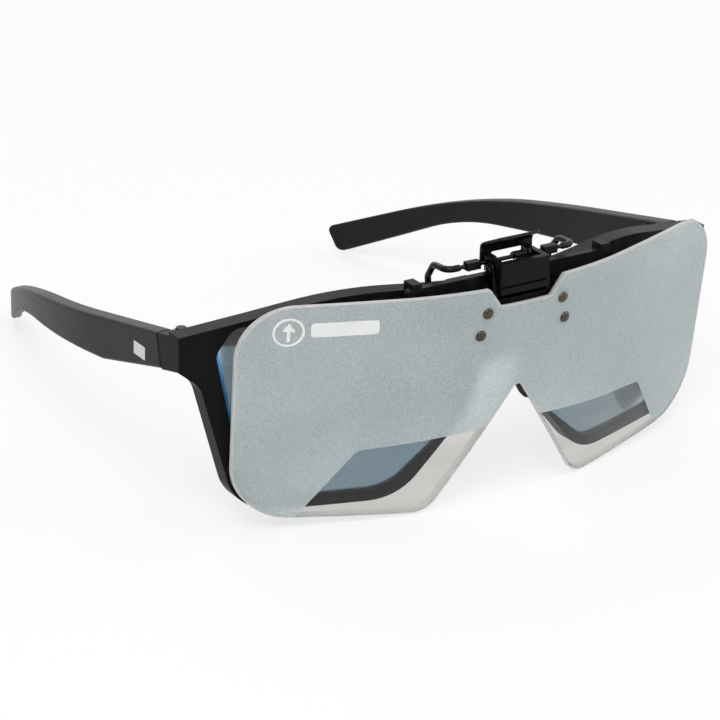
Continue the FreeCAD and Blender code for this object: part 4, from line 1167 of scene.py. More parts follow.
@dataclass
class FlipLens:
    """The one-piece flip lens with its frosted film and its plain printed mark."""

    half_outline: tuple[Pair, ...] = (
        (21.1, -55.95), (66.0, -53.8), (67.2, -0.6), (10.5, 0.0), (6.9, -4.85),
    )
    half_rounds: tuple[float, ...] = (7.0, 14.3, 12.8, 0.8, 0.8)
    peak: Pair = (0.0, -24.7)
    peak_round: float = 1.5
    thickness: float = 2.0
    edge_round: float = 0.22
    rear_chamfer: Pair = (0.85, 0.72)
    reach: float = 68.0
    strip: float = 2.0
    film_inset: float = 0.03
    notch_inset: float = 0.018
    film_layers: Pair = (-0.05, -0.01)
    film_peak_round: float = 1.2
    film_rounding: float = 0.01
    # Width and layers of the painted edge highlight, a pale ring on the front.
    painted_highlight_width: float = 0.30
    painted_highlight_layers: Pair = (-0.09, -0.055)
    rim_facing: float = 0.86
    window_top: Pair = (7.7, -35.6)
    window_corners: tuple[Pair, Pair] = ((38.8, -37.9), (43.2, -38.9))
    window_feet: tuple[Pair, Pair] = ((51.6, -54.2), (52.6, -53.6))
    window_rounds: tuple[float, ...] = (0.4, 2.4, 0.3)
    mark_layers: Pair = (-0.10, -0.055)
    mark_centre: Pair = (-56.0, -6.7)
    mark_radius: float = 3.5
    mark_stroke: float = 0.55
    mark_lead: float = 10.0
    arrow: tuple[Pair, ...] = (
        (-0.4, -2.3), (0.4, -2.3), (0.4, 0.2), (1.5, 0.2), (0.0, 2.3), (-1.5, 0.2), (-0.4, 0.2),
    )
    arrow_round: float = 0.1
    bar_span: Pair = (-51.2, -36.2)
    bar_heights: Pair = (-8.2, -4.7)
    bar_round: float = 0.8

    def layer(
        self, name: str, loops: Sequence[np.ndarray], layers: Pair, cuts: np.ndarray
    ) -> bpy.types.Object:
        """Thin printed or glued layer on the front of the lens.

        Args:
            name: The piece's name.
            loops: Its outline and any holes.
            layers: Its front and back, behind the lens's front.
            cuts: Where it is divided across.

        Returns:
            The new object.
        """
        return plate(name, loops, LENS_SURFACE.place, *layers, self.film_rounding, cuts, segments=1)

    def outline(self) -> np.ndarray:
        """The lens's own outline: the peak, the left half and its mirror image."""
        radii = [self.peak_round, *self.half_rounds, *reversed(self.half_rounds)]
        return rounded_loop([self.peak, *mirrored(self.half_outline)], radii)

    def film_half(self, corner: Pair, foot: Pair) -> list[Pair]:
        """Half of the frosted field's outline: round the clear window, then up and over the lens.

        Args:
            corner: The window's upper outer corner.
            foot: The window's lower outer corner.

        Returns:
            The corners, from the window's top to the notch, with x outwards.
        """
        inset, notch = self.film_inset, self.notch_inset
        _, bottom, top, notch_high, notch_low = self.half_outline
        return [
            (self.window_top[0] - inset, self.window_top[1]),
            corner,
            foot,
            (bottom[0] - inset, bottom[1] + inset),
            (top[0] - inset, top[1] - inset),
            (notch_high[0] + notch, -inset),
            (notch_low[0] + notch, notch_low[1] - inset),
        ]

    def film_outline(self) -> np.ndarray:
        """The frosted field: the lens's outline, a little inside, less the clear window of each eye."""
        right, left = (self.film_half(*window) for window in zip(self.window_corners, self.window_feet))
        _, bottom, top, notch_high, notch_low = self.half_rounds
        sides = [bottom - self.film_inset, top - self.film_inset, notch_high, notch_low]
        half_rounds = [*self.window_rounds, *sides]
        corners = [(self.peak[0], self.peak[1] + self.film_inset), *left, *mirrored(right)[len(right):]]
        return rounded_loop(corners, [self.film_peak_round, *half_rounds, *reversed(half_rounds)])

    def painted_edge_highlight(self) -> list[np.ndarray]:
        """Outline and hole of the painted highlight: a pale line on the front, just inside the outline,
        where the sheet's cut edge catches the light.
        """
        outer = self.outline()
        return [outer, outer - outward_directions(outer) * self.painted_highlight_width]

    def frost_edge(self, sheet: bpy.types.Object) -> None:
        """Gives the faces round the sheet's rim the frosted finish.

        A face belongs to the rim where the cosine of the angle between its normal and the front's own is
        under the limit.  The front's normal comes from the plan curve's slope, taken over a short step.

        Args:
            sheet: The clear sheet.
        """
        mesh = sheet.data
        mesh.materials.append(FINISHES.sawn_edge_and_painted_highlight)
        normals = read_vectors(mesh.polygons, "normal")
        x = read_vectors(mesh.polygons, "center")[:, 0] / METRES_PER_MM
        step, layer = 0.5, np.zeros_like(x)
        slope = (LENS_SURFACE.depth(x + step, layer) - LENS_SURFACE.depth(x - step, layer)) / (2 * step)
        tilt = math.radians(LENS_SURFACE.tilt)
        level, rise = np.full_like(x, -math.cos(tilt)), np.full_like(x, -math.sin(tilt))
        front = unit(np.column_stack([slope, level, rise]))
        facing = np.abs((normals * front).sum(axis=1))
        mesh.polygons.foreach_set("material_index", (facing < self.rim_facing).astype(np.int32))

    def build(self) -> None:
        """Builds and dresses the clear sheet, the film, the painted edge highlight and the mark."""
        cuts = strips(self.reach, self.strip)
        sheet = plate(
            "clear_lens_sheet", [self.outline()], LENS_SURFACE.place, 0.0, self.thickness, self.edge_round,
            cuts, sharp=60.0, rear_chamfer=self.rear_chamfer,
        )
        dress(sheet, FINISHES.clear, Body.FLIP, Slot.FROSTED_LENS, "flip_lens")
        self.frost_edge(sheet)
        film = self.layer("frosted_film", [self.film_outline()], self.film_layers, cuts)
        dress(film, FINISHES.frosted, Body.FLIP, Slot.FROSTED_LENS)
        # Painted highlight: a pale ring on the front that stands in for the cut edge catching the light.
        line = self.layer("painted_edge_highlight", self.painted_edge_highlight(), self.painted_highlight_layers, cuts)
        dress(line, FINISHES.sawn_edge_and_painted_highlight, Body.FLIP, Slot.FROSTED_LENS)
        self.build_mark()

    def build_mark(self) -> None:
        """Plain mark in white ink: a ring round an upright arrow, and a bar beside it."""
        x, z = self.mark_centre
        radii = (self.mark_radius, self.mark_radius - self.mark_stroke)
        ring = [circle_loop(self.mark_centre, radius) for radius in radii]
        arrow = [(x + across, z + up) for across, up in self.arrow]
        arrow_loop = rounded_loop(arrow, [self.arrow_round] * len(arrow), self.arrow_round)
        low, high = self.bar_heights
        first, last = self.bar_span
        bar = [(first, low), (last, low), (last, high), (first, high)]
        bar_loop = rounded_loop(bar, [self.bar_round] * len(bar))
        cuts = np.arange(first - self.mark_lead, last + self.strip / 2, self.strip)
        for name, loops in (("mark_ring", ring), ("mark_arrow", [arrow_loop]), ("mark_bar", [bar_loop])):
            printed = self.layer(name, loops, self.mark_layers, cuts)
            dress(printed, FINISHES.ink, Body.FLIP, Slot.FROSTED_LENS)


@dataclass
class LensFittings:
    """The sprung bracket behind the lens and the four domed rivets that hold it."""

    places: tuple[Pair, ...] = ((10.5, -6.0), (11.8, -11.4))
    head: float = 1.35
    dome: float = 0.75
    dome_fullness: float = 0.85
    pole: float = 0.02
    rim: float = 0.97
    shank: float = 0.8
    tail: float = 1.2
    tail_height: float = 0.5
    tail_scale: float = 0.98
    tail_lift: float = 0.02
    end_radius: float = 0.03
    seat_layer: float = 2.86
    around: int = 36
    bracket_round: float = 0.14

    def head_profile(self) -> np.ndarray:
        """Half of a rivet's outline, from the crown to the tail: a flattened dome with a rolled rim."""
        turn = quarter_turn(12)
        crown = np.column_stack([-self.dome * np.cos(turn) ** self.dome_fullness, self.head * np.sin(turn)])
        crown[0, 1] = self.head * self.pole
        rim = np.array([[0.0, self.head * self.rim], [0.0, self.shank], [self.seat_layer, self.shank]])
        curl = quarter_turn(6)
        roll_height = self.seat_layer + self.tail_height * (1 - np.cos(curl)) ** 0.5
        roll_radius = self.tail * np.cos(curl) ** 0.5 * self.tail_scale + self.tail_lift
        roll = np.column_stack([roll_height, roll_radius])
        start, end = [self.seat_layer, self.tail], [self.seat_layer + self.tail_height, self.end_radius]
        return np.concatenate([crown, rim, [start], roll, [end]])

    def rivets(self) -> bpy.types.Object:
        """All four rivets, each square to the lens where it stands."""
        parts = []
        for side in Side:
            for x, z in self.places:
                here = np.array([side.value * x, z, 0.0])
                steps = np.array([[0.0, 0.0, 0.0], [0.0, 0.0, 1.0], [0.01, 0.0, 0.0], [0.0, 0.01, 0.0]])
                front, behind, across, above = LENS_SURFACE.place(here + steps)
                inwards = np.cross(above - front, across - front)
                inwards *= np.sign(inwards @ (behind - front))
                parts.append(skin(turned(self.head_profile(), front, inwards, self.around)))
        return finish_mesh("lens_rivet_set", *joined(parts), sharp=50.0)

    def build(self) -> None:
        """Builds and dresses the bracket and its rivets."""
        steel = (FINISHES.spring_steel, Body.FLIP, Slot.SPRING_STEEL)
        dress_softened("lens_bracket", self.bracket_round, *steel)
        dress(self.rivets(), FINISHES.nickel, Body.FLIP, Slot.NICKEL, "lens_rivets")


# ---------------------------------------------------------------- clip and jaw


@dataclass
class ClipHousing:
    """The hinge housing, its pin and springs, the base, the front bar and the pads."""

    flip_axis: Pair = (5.2, 2.6)
    jaw_axis: Pair = (7.6, 3.6)
    pin_radius: float = 0.6
    pin_reach: float = 8.05
    pin_head: float = 1.0
    pin_head_thickness: float = 0.4
    pin_head_under: float = 0.98
    spring_wire: float = 0.22
    spring_end: float = 0.6
    spring_turns: float = 5.0
    steps_per_turn: int = 40
    flip_coil_radius: float = 1.05
    jaw_coil_radius: float = 0.95
    housing_round: float = 0.24
    base_round: float = 0.2
    bar_round: float = 0.4
    rivet_round: float = 0.18
    pad_round: float = 0.35

    def pin(self) -> bpy.types.Object:
        """Shaft with a domed head at each end, turned about the flip axis."""
        turn = quarter_turn(8)
        reach, head, rise = self.pin_reach, self.pin_head, self.pin_head_thickness
        cap = np.column_stack([reach + rise * np.cos(turn), head * np.sin(turn)])
        cap[0, 1] = head * POLE_SHARE
        half = np.concatenate([cap, [[reach, head * self.pin_head_under], [reach, self.pin_radius]]])
        whole = np.concatenate([half, half[::-1] * np.array([-1.0, 1.0])])
        centre = np.array([0.0, *self.flip_axis])
        return finish_mesh("flip_pin_turned", *skin(turned(whole, centre, np.array([1.0, 0.0, 0.0]))))

    def coil(self, name: str, node: str, radius: float, axis: Pair) -> bpy.types.Object:
        """Closed coil of round wire in the room that its node holds.

        The path goes round a circle of the coil's radius while x runs evenly from one end of the node's box
        to the other, one wire's radius in.

        Args:
            name: The piece's name.
            node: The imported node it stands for.
            radius: Radius of the coil to the middle of the wire.
            axis: y and z of the coil's axis on the datum.

        Returns:
            The new object.
        """
        low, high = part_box(node)
        start = low[0] / METRES_PER_MM + self.spring_wire
        end = high[0] / METRES_PER_MM - self.spring_wire
        turns = np.linspace(0.0, self.spring_turns, int(self.spring_turns * self.steps_per_turn) + 1)
        angle = 2 * math.pi * turns
        x = start + (end - start) * turns / self.spring_turns
        path = np.column_stack([x, axis[0] + radius * np.cos(angle), axis[1] + radius * np.sin(angle)])
        radii = np.full(len(path), self.spring_wire)
        radii[[0, -1]] = self.spring_wire * self.spring_end
        return finish_mesh(name, *skin(carried_section(path, radii, around=10)))

    def build(self) -> None:
        """Builds and dresses each piece of the clip."""
        steel = (FINISHES.spring_steel, Body.CLIP, Slot.SPRING_STEEL)
        moulding = (FINISHES.moulding, Body.CLIP, Slot.MOULDING)
        rubber = (FINISHES.rubber, Body.CLIP, Slot.RUBBER)
        dress_softened("hinge_housing", self.housing_round, *moulding)
        dress(self.pin(), *steel, "hinge_pin")
        flip_coil = self.coil("flip_coil", "flip_spring", self.flip_coil_radius, self.flip_axis)
        dress(flip_coil, *steel, "flip_spring")
        jaw_coil = self.coil("jaw_coil", "jaw_spring", self.jaw_coil_radius, self.jaw_axis)
        dress(jaw_coil, *steel, "jaw_spring")
        dress_softened("clip_base", self.base_round, *moulding)
        dress_softened("front_bar", self.bar_round, *moulding, segments=4)
        dress_softened("base_rivets", self.rivet_round, FINISHES.nickel, Body.CLIP, Slot.NICKEL)
        for side in Side:
            dress_softened(f"front_pad_{side.word}", self.pad_round, *rubber, segments=4)


@dataclass
class RearJaw:
    """The sprung wire with its sleeves and collars, and the thumb lever that turns it."""

    axis: Pair = (7.6, 3.6)
    wire_radius: float = 0.5
    wire_half: float = 17.6
    wire_back: Pair = (13.0, 3.2)
    knee_drop: float = 0.6
    tip: Pair = (16.6, 6.2)
    bend: float = 1.9
    wire_step: float = 0.16
    wire_end: float = 0.7
    sleeve_wall: float = 0.28
    sleeve_start: float = 14.2
    sleeve_cap: float = 0.6
    sleeve_pole: float = 0.05
    lip_thinning: float = 0.16
    lip_length: float = 0.12
    seat_gap: float = 0.3
    finger_margin: float = 0.6
    front_inner_radius: float = 107.8
    setback: float = 9.0
    wrap_radius: float = 112.0
    collar_round: float = 0.25
    lever_half: float = 7.2
    lever_front: float = 9.3
    lever_sheet: float = 0.7
    lever_edge_round: float = 0.14
    lever_foot: float = 2.6
    lever_bend_z: float = 7.0
    lever_lip: Pair = (6.0, 8.8)
    lever_bend_radius: float = 1.1
    bend_saving: float = 0.35
    lever_rounds: tuple[float, ...] = (0.3, 0.5, 0.7, 3.9, 0.5, 0.3, 0.6, 0.6)
    lever_strip: float = 0.3
    window_half: float = 4.4
    window_top: float = 5.0
    ear_inner: float = 4.4
    ear_thickness: float = 0.8
    ear_radius: float = 1.2
    ear_soft: float = 0.12
    ear_soft_middle: float = 0.035

    def rest_depth(self) -> float:
        """y of a finger behind the sunglasses: their rear face, plus the sleeve and its gap."""
        x = self.tip[0] + self.sleeve_wall + self.wire_radius + self.finger_margin
        rear = self.setback + self.wrap_radius - math.sqrt(self.front_inner_radius**2 - x**2)
        return rear + self.wire_radius + self.sleeve_wall + self.seat_gap

    def finger(self, side: Side) -> list[np.ndarray]:
        """Corners of one finger: along the axis, back over the frame and down behind it.

        Args:
            side: Which finger.

        Returns:
            The corners, from the middle of the axis to the finger's tip.
        """
        rest = self.rest_depth()
        corners = [
            (0.0, *self.axis),
            (self.wire_half, *self.axis),
            (self.wire_half, *self.wire_back),
            ((self.wire_half + self.tip[0]) / 2, rest, -self.knee_drop),
            (self.tip[0], rest, -self.tip[1]),
        ]
        return [np.array([side.value * x, y, z]) for x, y, z in corners]

    def bent(self, corners: Sequence[np.ndarray]) -> np.ndarray:
        """Route of even steps: straight runs joined by tangent arcs of the wire's bend radius.

        Args:
            corners: The route's sharp corners.

        Returns:
            Rows of x, y, z.
        """
        runs = [corners[0][None, :]]
        for before, corner, after in zip(corners, corners[1:], corners[2:]):
            half, centre, start, end = corner_arc(before, corner, after, self.bend)
            across = np.cross(unit(np.cross(start, end)), start)
            angles = np.linspace(0.0, math.pi - 2 * half, 14)[:, None]
            runs.append(centre + start * np.cos(angles) + across * np.sin(angles))
        runs.append(corners[-1][None, :])
        rough = np.concatenate(runs)
        lengths = lengths_along(rough)
        even = np.linspace(0.0, lengths[-1], max(2, int(lengths[-1] / self.wire_step)))
        return np.column_stack([np.interp(even, lengths, rough[:, axis]) for axis in range(3)])

    def wire(self) -> bpy.types.Object:
        """The whole wire, both fingers and the straight run between them."""
        right, left = self.finger(Side.RIGHT), self.finger(Side.LEFT)
        path = self.bent([*reversed(right)][:-1] + left[1:])
        radii = np.full(len(path), self.wire_radius)
        radii[[0, -1]] = self.wire_radius * self.wire_end
        return finish_mesh("jaw_wire_bent", *skin(carried_section(path, radii, around=16)))

    def sleeve(self, side: Side) -> bpy.types.Object:
        """Glossy sleeve over a finger, with a rounded closed end past the wire's tip.

        The radius follows a quarter circle over the last radius of length, and is drawn in a little at the
        open end by a bell curve.

        Args:
            side: Which finger.

        Returns:
            The new object.
        """
        corners = self.finger(side)
        corners[0] = np.array([side.value * self.sleeve_start, *self.axis])
        corners[-1] = corners[-1] + unit(corners[-1] - corners[-2]) * self.sleeve_cap
        path = self.bent(corners)
        outer = self.wire_radius + self.sleeve_wall
        behind = lengths_along(path)
        ahead = behind[-1] - behind
        cap = np.sqrt(np.clip(1 - (1 - np.clip(ahead / outer, 0.0, 1.0)) ** 2, 0.0, 1.0))
        lip = 1 - self.lip_thinning * np.exp(-((behind / self.lip_length) ** 2))
        radii = outer * np.maximum(cap, self.sleeve_pole) * lip
        return finish_mesh(f"finger_sleeve_{side.word}", *skin(carried_section(path, radii, around=24)))

    def fold(self, flat: np.ndarray) -> np.ndarray:
        """Folds rows of (along, across, layer) into the lever: upright, a bend, then the forward lip.

        The mid line climbs straight from the foot, turns through an arc of the bend radius and goes on
        straight along the lip; a layer is stepped off square to that line.

        Args:
            flat: Rows of distance along the sheet from its foot, distance to the right, and layer.

        Returns:
            Rows of datum x, y, z in millimetres.
        """
        along, x, layer = flat[:, 0], -flat[:, 1], flat[:, 2]
        rise = self.lever_bend_z - self.lever_foot
        lean = math.atan2(self.lever_front - self.lever_lip[0], self.lever_lip[1] - self.lever_bend_z)
        radius = self.lever_bend_radius
        start = rise - radius * math.tan(lean / 2)
        turn = np.clip((along - start) / radius, 0.0, lean)
        past = np.clip(along - start - radius * lean, 0.0, None)
        y = self.lever_front - radius * (1 - np.cos(turn)) - past * np.sin(turn)
        z = self.lever_foot + np.minimum(along, start) + radius * np.sin(turn) + past * np.cos(turn)
        return np.column_stack([x, y + layer * np.cos(turn), z + layer * np.sin(turn)])

    def lever(self) -> bpy.types.Object:
        """Arched sheet with rounded upper corners and a window, folded forward along its top."""
        rise = self.lever_bend_z - self.lever_foot
        top = rise + math.dist((self.lever_front, self.lever_bend_z), self.lever_lip) - self.bend_saving
        half, inner = self.lever_half, self.window_half
        arch = self.window_top - self.lever_foot
        corners = [
            (inner, 0.0), (half, 0.0), (half, top), (-half, top),
            (-half, 0.0), (-inner, 0.0), (-inner, arch), (inner, arch),
        ]
        upright = rounded_loop(corners, self.lever_rounds, step=0.2)
        loop = np.column_stack([upright[:, 1], -upright[:, 0]])
        cuts = np.arange(self.lever_strip, loop[:, 0].max(), self.lever_strip)
        edge = self.lever_edge_round
        return plate("thumb_lever_sheet", [loop], self.fold, 0.0, self.lever_sheet, edge, cuts)

    def ears(self) -> bpy.types.Object:
        """The two ears that hold the lever on the wire, each a rounded tab in an upright plane.

        The tab's outline is a half circle and a straight tail; each ring is that outline drawn in towards
        its middle by the softening of its depth.
        """
        y, z = self.axis
        reach = self.lever_front + self.lever_sheet - y
        turn = np.linspace(math.pi / 2, 3 * math.pi / 2, 20)
        nose = np.column_stack([self.ear_radius * np.cos(turn), self.ear_radius * np.sin(turn)])
        edge = np.concatenate([nose, [[reach, -self.ear_radius], [reach, self.ear_radius]]])
        inward = unit(edge.mean(axis=0) - edge)
        soft, middle = self.ear_soft, self.ear_soft_middle
        front = [(0.0, soft), (middle, middle), (soft, 0.0)]
        layers = front + [(self.ear_thickness - depth, drawn) for depth, drawn in reversed(front)]
        parts = []
        for side in Side:
            start = self.ear_inner if side is Side.LEFT else -self.ear_inner - self.ear_thickness
            rings = [
                np.column_stack([np.full(len(edge), start + depth), edge + inward * drawn + (y, z)])
                for depth, drawn in layers
            ]
            parts.append(skin(np.stack(rings)))
        return finish_mesh("thumb_lever_ears", *joined(parts))

    def build(self) -> None:
        """Builds and dresses each piece of the jaw."""
        body = Body.REAR_JAW
        dress(self.wire(), FINISHES.spring_steel, body, Slot.SPRING_STEEL, "jaw_wire")
        for side in Side:
            dress(self.sleeve(side), FINISHES.gloss_sleeve, body, Slot.RUBBER, f"wire_sleeve_{side.word}")
            collar = f"jaw_collar_{side.word}"
            dress_softened(collar, self.collar_round, FINISHES.moulding, body, Slot.SPRING_STEEL)
        dress(self.lever(), FINISHES.sheet, body, Slot.SHEET, "thumb_lever")
        dress(self.ears(), FINISHES.sheet, body, Slot.SHEET)


# ---------------------------------------------------------------- sunglasses


@dataclass
class SunglassesFront:
    """The front of the sunglasses with its mirror lenses, nose pads and front hinge leaves."""

    eye_corners: tuple[Pair, ...] = (
        (34.0, -5.4), (63.4, -7.3), (67.1, -13.5), (60.2, -50.1),
        (28.5, -50.1), (12.2, -36.0), (11.5, -10.5),
    )
    eye_rounds: tuple[float, ...] = (40.0, 3.5, 3.5, 8.5, 14.0, 8.5, 8.5)
    eye_half: float = 24.0
    lens_layers: Pair = (1.2, 3.0)
    lens_edge_round: float = 0.25
    groove: float = 0.7
    reach: float = 74.0
    strip: float = 2.0
    frame_round: float = 0.75
    hinge_round: float = 0.1
    pad_half: Pair = (1.9, 7.0)
    pad_lean: float = 14.0
    pad_squareness: float = 0.85
    pad_fullness: float = 0.55
    pad_swell: Pair = (0.25, 0.94)

    def lens(self, side: Side) -> bpy.types.Object:
        """Mirror lens a little larger than its opening, held in the frame's groove.

        Args:
            side: Which eye.

        Returns:
            The new object.
        """
        corners = np.array(self.eye_corners)
        middle = corners.mean(axis=0)
        grown = middle + (corners - middle) * (1 + self.groove / self.eye_half)
        grown[:, 0] *= side.value
        loop = rounded_loop(grown, self.eye_rounds)
        cuts = strips(self.reach, self.strip)
        name, place = f"mirror_lens_{side.word}", FRONT_SURFACE.place
        return plate(
            name, [loop], place, *self.lens_layers, self.lens_edge_round, cuts, segments=2, sharp=60.0
        )

    def tint_back(self, lens: bpy.types.Object) -> None:
        """Gives the faces that look back, towards the eye, the dark tint of the lens itself.

        Args:
            lens: The mirror lens.
        """
        lens.data.materials.append(FINISHES.lens_back)
        back = read_vectors(lens.data.polygons, "normal")[:, 1] > 0.0
        lens.data.polygons.foreach_set("material_index", back.astype(np.int32))

    def nose_pad(self, side: Side) -> bpy.types.Object:
        """Soft pad: a box whose sections are superellipses, swelling and then closing towards the nose.

        A section's two coordinates are cosine and sine, each raised to the squareness with its sign kept,
        times the pad's half sizes, and its size closes as a power of the cosine along the pad.

        Args:
            side: Which side of the nose.

        Returns:
            The new object.
        """
        low, high = (np.array(corner) / METRES_PER_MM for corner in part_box(f"nose_pad_{side.word}"))
        turn = quarter_turn(14)[1:]
        swell, foot = self.pad_swell
        travel = np.concatenate([[0.0, swell], swell + (1 - swell) * np.sin(turn)])
        size = np.concatenate([[foot, 1.0], np.cos(turn) ** self.pad_fullness])
        size[-1] = POLE_SHARE
        angles = even_angles(40)
        wheel = np.column_stack([np.cos(angles), np.sin(angles)])
        across, up = (np.sign(wheel) * np.abs(wheel) ** self.pad_squareness * self.pad_half).T
        lean = math.radians(self.pad_lean) * -side.value
        x = across * math.cos(lean) + up * math.sin(lean)
        z = up * math.cos(lean) - across * math.sin(lean)
        offset = DATUM.offset()
        centre = (low + high) / 2 - offset
        y = low[1] - offset[1] + travel * (high[1] - low[1])
        depths = np.outer(y, np.ones_like(angles))
        rings = np.stack([centre[0] + np.outer(size, x), depths, centre[2] + np.outer(size, z)], axis=-1)
        return finish_mesh(f"nose_pad_{side.word}_soft", *skin(rings))

    def build(self) -> None:
        """Builds and dresses each piece of the front."""
        body = Body.SUNGLASSES
        matte = (FINISHES.frame, body, Slot.FRAME)
        dress_softened("front_frame", self.frame_round, *matte, segments=4, edge=30.0)
        for side in Side:
            word = side.word
            lens = self.lens(side)
            dress(lens, FINISHES.mirror, body, Slot.MIRROR, f"sun_lens_{word}")
            self.tint_back(lens)
            dress(self.nose_pad(side), FINISHES.rubber, body, Slot.RUBBER, f"nose_pad_{word}")
            for node in (f"front_hinge_{word}", f"hinge_screw_{word}"):
                dress_softened(node, self.hinge_round, FINISHES.hinge, body, Slot.HINGE, segments=2)


@dataclass
class Temple:
    """One temple: a deep shoulder, a slim shank and a drop behind the ear, with its inlay and leaf."""

    side: Side
    outer: float = 75.0
    thickness: float = 4.2
    straight: float = 70.0
    curve: float = 180.0
    seam_top: Pair = (37.85, -10.9)
    seam_low: Pair = (35.95, -19.2)
    ear_top: Pair = (118.0, -28.7)
    ear_low: Pair = (118.0, -35.2)
    kink: Pair = (64.5, -27.6)
    tip_top: Pair = (159.6, -48.3)
    tip_low: Pair = (156.2, -55.3)
    seam_round: float = 0.9
    ear_round: float = 220.0
    ear_under_round: float = 76.0
    tip_round: float = 1.9
    tip_thickness: float = 2.7
    taper: Pair = (96.0, 156.0)
    kink_round: float = 6.0
    edge_round: float = 0.85
    strip: float = 3.0
    fitting_round: float = 0.1

    def outline(self) -> np.ndarray:
        """Side outline, as rows of distance back and height: seam, ear, tip, ear again, kink."""
        corners = {
            self.seam_top: self.seam_round,
            self.ear_top: self.ear_round,
            self.tip_top: self.tip_round,
            self.tip_low: self.tip_round,
            self.ear_low: self.ear_under_round,
            self.kink: self.kink_round,
            self.seam_low: self.seam_round,
        }
        return rounded_loop(list(corners), list(corners.values()), step=0.5)

    def lay(self, flat: np.ndarray) -> np.ndarray:
        """Lays rows of (back, height, depth below the outer face) along the temple's plan.

        The plan is straight at first; from there the outer face follows one long inward circle, and a
        depth makes that circle smaller.  Depths shrink towards the tip, along a smooth step (three times
        the square less twice the cube of the share of the taper's run).

        Args:
            flat: Rows of distance back, height and depth, in millimetres.

        Returns:
            Rows of datum x, y, z in millimetres.
        """
        past = np.clip(flat[:, 0] - self.straight, 0.0, None)
        first, last = self.taper
        share = np.clip((flat[:, 0] - first) / (last - first), 0.0, 1.0)
        thinning = 1 - (1 - self.tip_thickness / self.thickness) * share**2 * (3 - 2 * share)
        radius = self.curve - flat[:, 2] * thinning
        x = self.outer - self.curve + np.sqrt(np.clip(radius**2 - past**2, 0.0, None))
        return np.column_stack([x * self.side.value, flat[:, 0], flat[:, 1]])

    def build(self) -> None:
        """Builds and dresses the arm, its inlay and its hinge leaf."""
        word, body = self.side.word, Body(f"{self.side.word}_temple")
        cuts = np.arange(self.seam_low[0], self.tip_top[0], self.strip)
        arm = plate(
            f"temple_arm_{word}", [self.outline()], self.lay, 0.0, self.thickness, self.edge_round, cuts,
            segments=5,
        )
        dress(arm, FINISHES.temple, body, Slot.FRAME, f"temple_{word}")
        inlay, leaf = f"temple_inlay_{word}", f"temple_hinge_{word}"
        dress_softened(inlay, self.fitting_round, FINISHES.inlay, body, Slot.INLAY)
        dress_softened(leaf, self.fitting_round, FINISHES.hinge, body, Slot.HINGE, segments=2)


# ---------------------------------------------------------------- studio


@dataclass(frozen=True)
class Lamp:
    """One soft square lamp."""

    name: str
    place: Point
    size: float
    power: float
    aim: Point = (0.0, 0.0, 0.035)

    def build(self) -> None:
        """Adds the lamp and points it at the middle of the object."""
        light = bpy.data.lights.new(self.name, "AREA")
        light.size = self.size
        light.energy = self.power
        lamp = bpy.data.objects.new(self.name, light)
        lamp.location = self.place
        lamp.rotation_euler = (Vector(self.aim) - Vector(self.place)).to_track_quat("-Z", "Y").to_euler()
        bpy.context.scene.collection.objects.link(lamp)


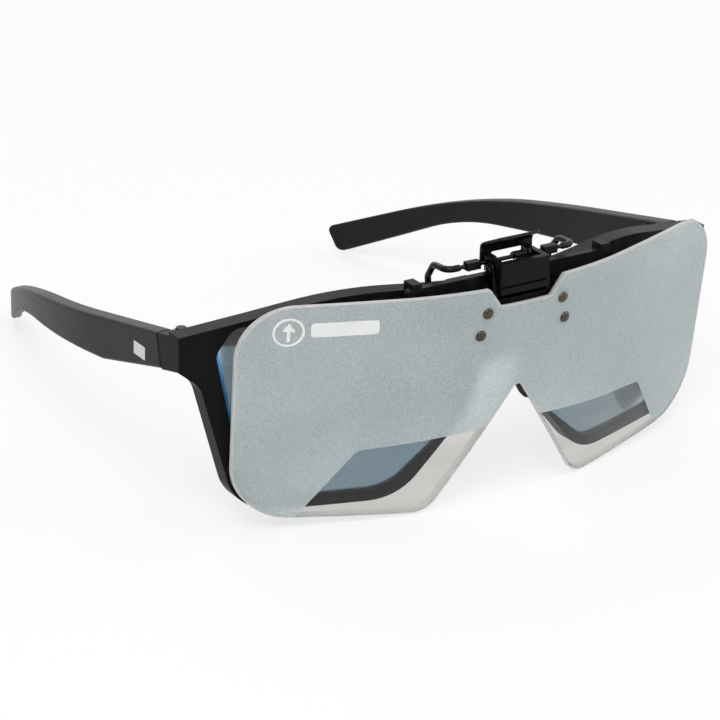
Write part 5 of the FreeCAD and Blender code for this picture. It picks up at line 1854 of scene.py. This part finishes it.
@dataclass
class Studio:
    """Pale floor, soft lamps and the camera."""

    azimuth: float = 33.80
    elevation: float = 23.40
    roll: float = 1.90
    distance: float = 0.60798
    target: Point = (-45.43, 0.0, -9.55)
    focal: float = 138.875
    sensor: float = 36.0
    clip_range: Pair = (0.05, 20.0)
    floor_half: float = 2.4
    floor_height: float = -0.0004
    floor_colour: Colour = (0.86, 0.86, 0.86)
    fade_rate: float = 0.6
    fade_near: Pair = (0.20, 0.72)
    fade_far: Pair = (0.62, 1.0)
    ambient: float = 0.4
    lamps: tuple[Lamp, ...] = (
        Lamp("key_lamp", (-0.35, -0.45, 0.75), 0.55, 5.0),
        Lamp("fill_lamp", (0.60, -0.35, 0.50), 0.6, 2.0),
        Lamp("back_lamp", (0.05, 0.70, 0.60), 0.6, 2.5),
    )

    def camera(self) -> None:
        """Camera that looks at the target from the front and the wearer's right, a little rolled."""
        across, up = math.radians(self.azimuth), math.radians(self.elevation)
        back = Vector((-math.sin(across) * math.cos(up), -math.cos(across) * math.cos(up), math.sin(up)))
        right = Vector((0.0, 0.0, 1.0)).cross(back).normalized()
        above = back.cross(right)
        turn = math.radians(self.roll)
        rolled_right = right * math.cos(turn) + above * math.sin(turn)
        rolled_above = above * math.cos(turn) - right * math.sin(turn)
        lens = bpy.data.cameras.new("studio_camera")
        lens.sensor_width = self.sensor
        lens.lens = self.focal
        lens.clip_start, lens.clip_end = self.clip_range
        camera = bpy.data.objects.new("studio_camera", lens)
        target = Vector(DATUM.seat(np.array([self.target]))[0])
        camera.location = target + back * self.distance
        camera.rotation_mode = "QUATERNION"
        camera.rotation_quaternion = Matrix((rolled_right, rolled_above, back)).transposed().to_quaternion()
        bpy.context.scene.collection.objects.link(camera)
        bpy.context.scene.camera = camera

    def floor(self) -> None:
        """Pale floor that the camera sees almost white, with the object's soft shadow on it."""
        half, height = self.floor_half, self.floor_height
        mesh = bpy.data.meshes.new("studio_floor")
        rim = [(-half, -half, height), (half, -half, height), (half, half, height), (-half, half, height)]
        mesh.from_pydata(rim, [], [(0, 1, 2, 3)])
        floor = link("studio_floor", mesh)
        material, make, shader = new_material("pale_floor")
        make.fill(shader, {"Base Color": self.floor_colour, "Roughness": 0.9, "Specular IOR Level": 0.1})
        glow = make.add("ShaderNodeEmission", {"Strength": 1.0})
        away = make.add("ShaderNodeVectorMath", {0: make.place()}, operation="LENGTH").outputs["Value"]
        fade = make.ramp(make.times(away, self.fade_rate), self.fade_near, self.fade_far)
        share = make.times(make.seen(), fade)
        layers = {"Fac": share, 1: shader.outputs["BSDF"], 2: glow.outputs["Emission"]}
        mix = make.add("ShaderNodeMixShader", layers)
        make.fill(material.node_tree.nodes["Material Output"], {"Surface": mix.outputs["Shader"]})
        mesh.materials.append(material)

    def world(self) -> None:
        """Even pale surroundings, dimmer as light than as the camera sees them."""
        world = bpy.data.worlds.new("studio")
        bpy.context.scene.world = world
        world.use_nodes = True
        make = Nodes(world.node_tree)
        strength = make.plus(make.times(make.seen(), 1.0 - self.ambient), self.ambient)
        make.fill(world.node_tree.nodes["Background"], {"Color": (1.0, 1.0, 1.0), "Strength": strength})

    def build(self) -> None:
        """Sets the studio up."""
        self.camera()
        self.world()
        self.floor()
        for lamp in self.lamps:
            lamp.build()
        bpy.context.scene.view_settings.view_transform = "Standard"


def main() -> None:
    """Builds the studio and every sub-assembly."""
    logging.basicConfig(level=logging.INFO, format="%(name)s: %(message)s")
    clip_on = (FlipLens(), LensFittings(), ClipHousing(), RearJaw())
    for assembly in (Studio(), *clip_on, SunglassesFront(), *(Temple(side) for side in Side)):
        assembly.build()
    bpy.context.view_layer.update()


if __name__ == "__main__":
    main()
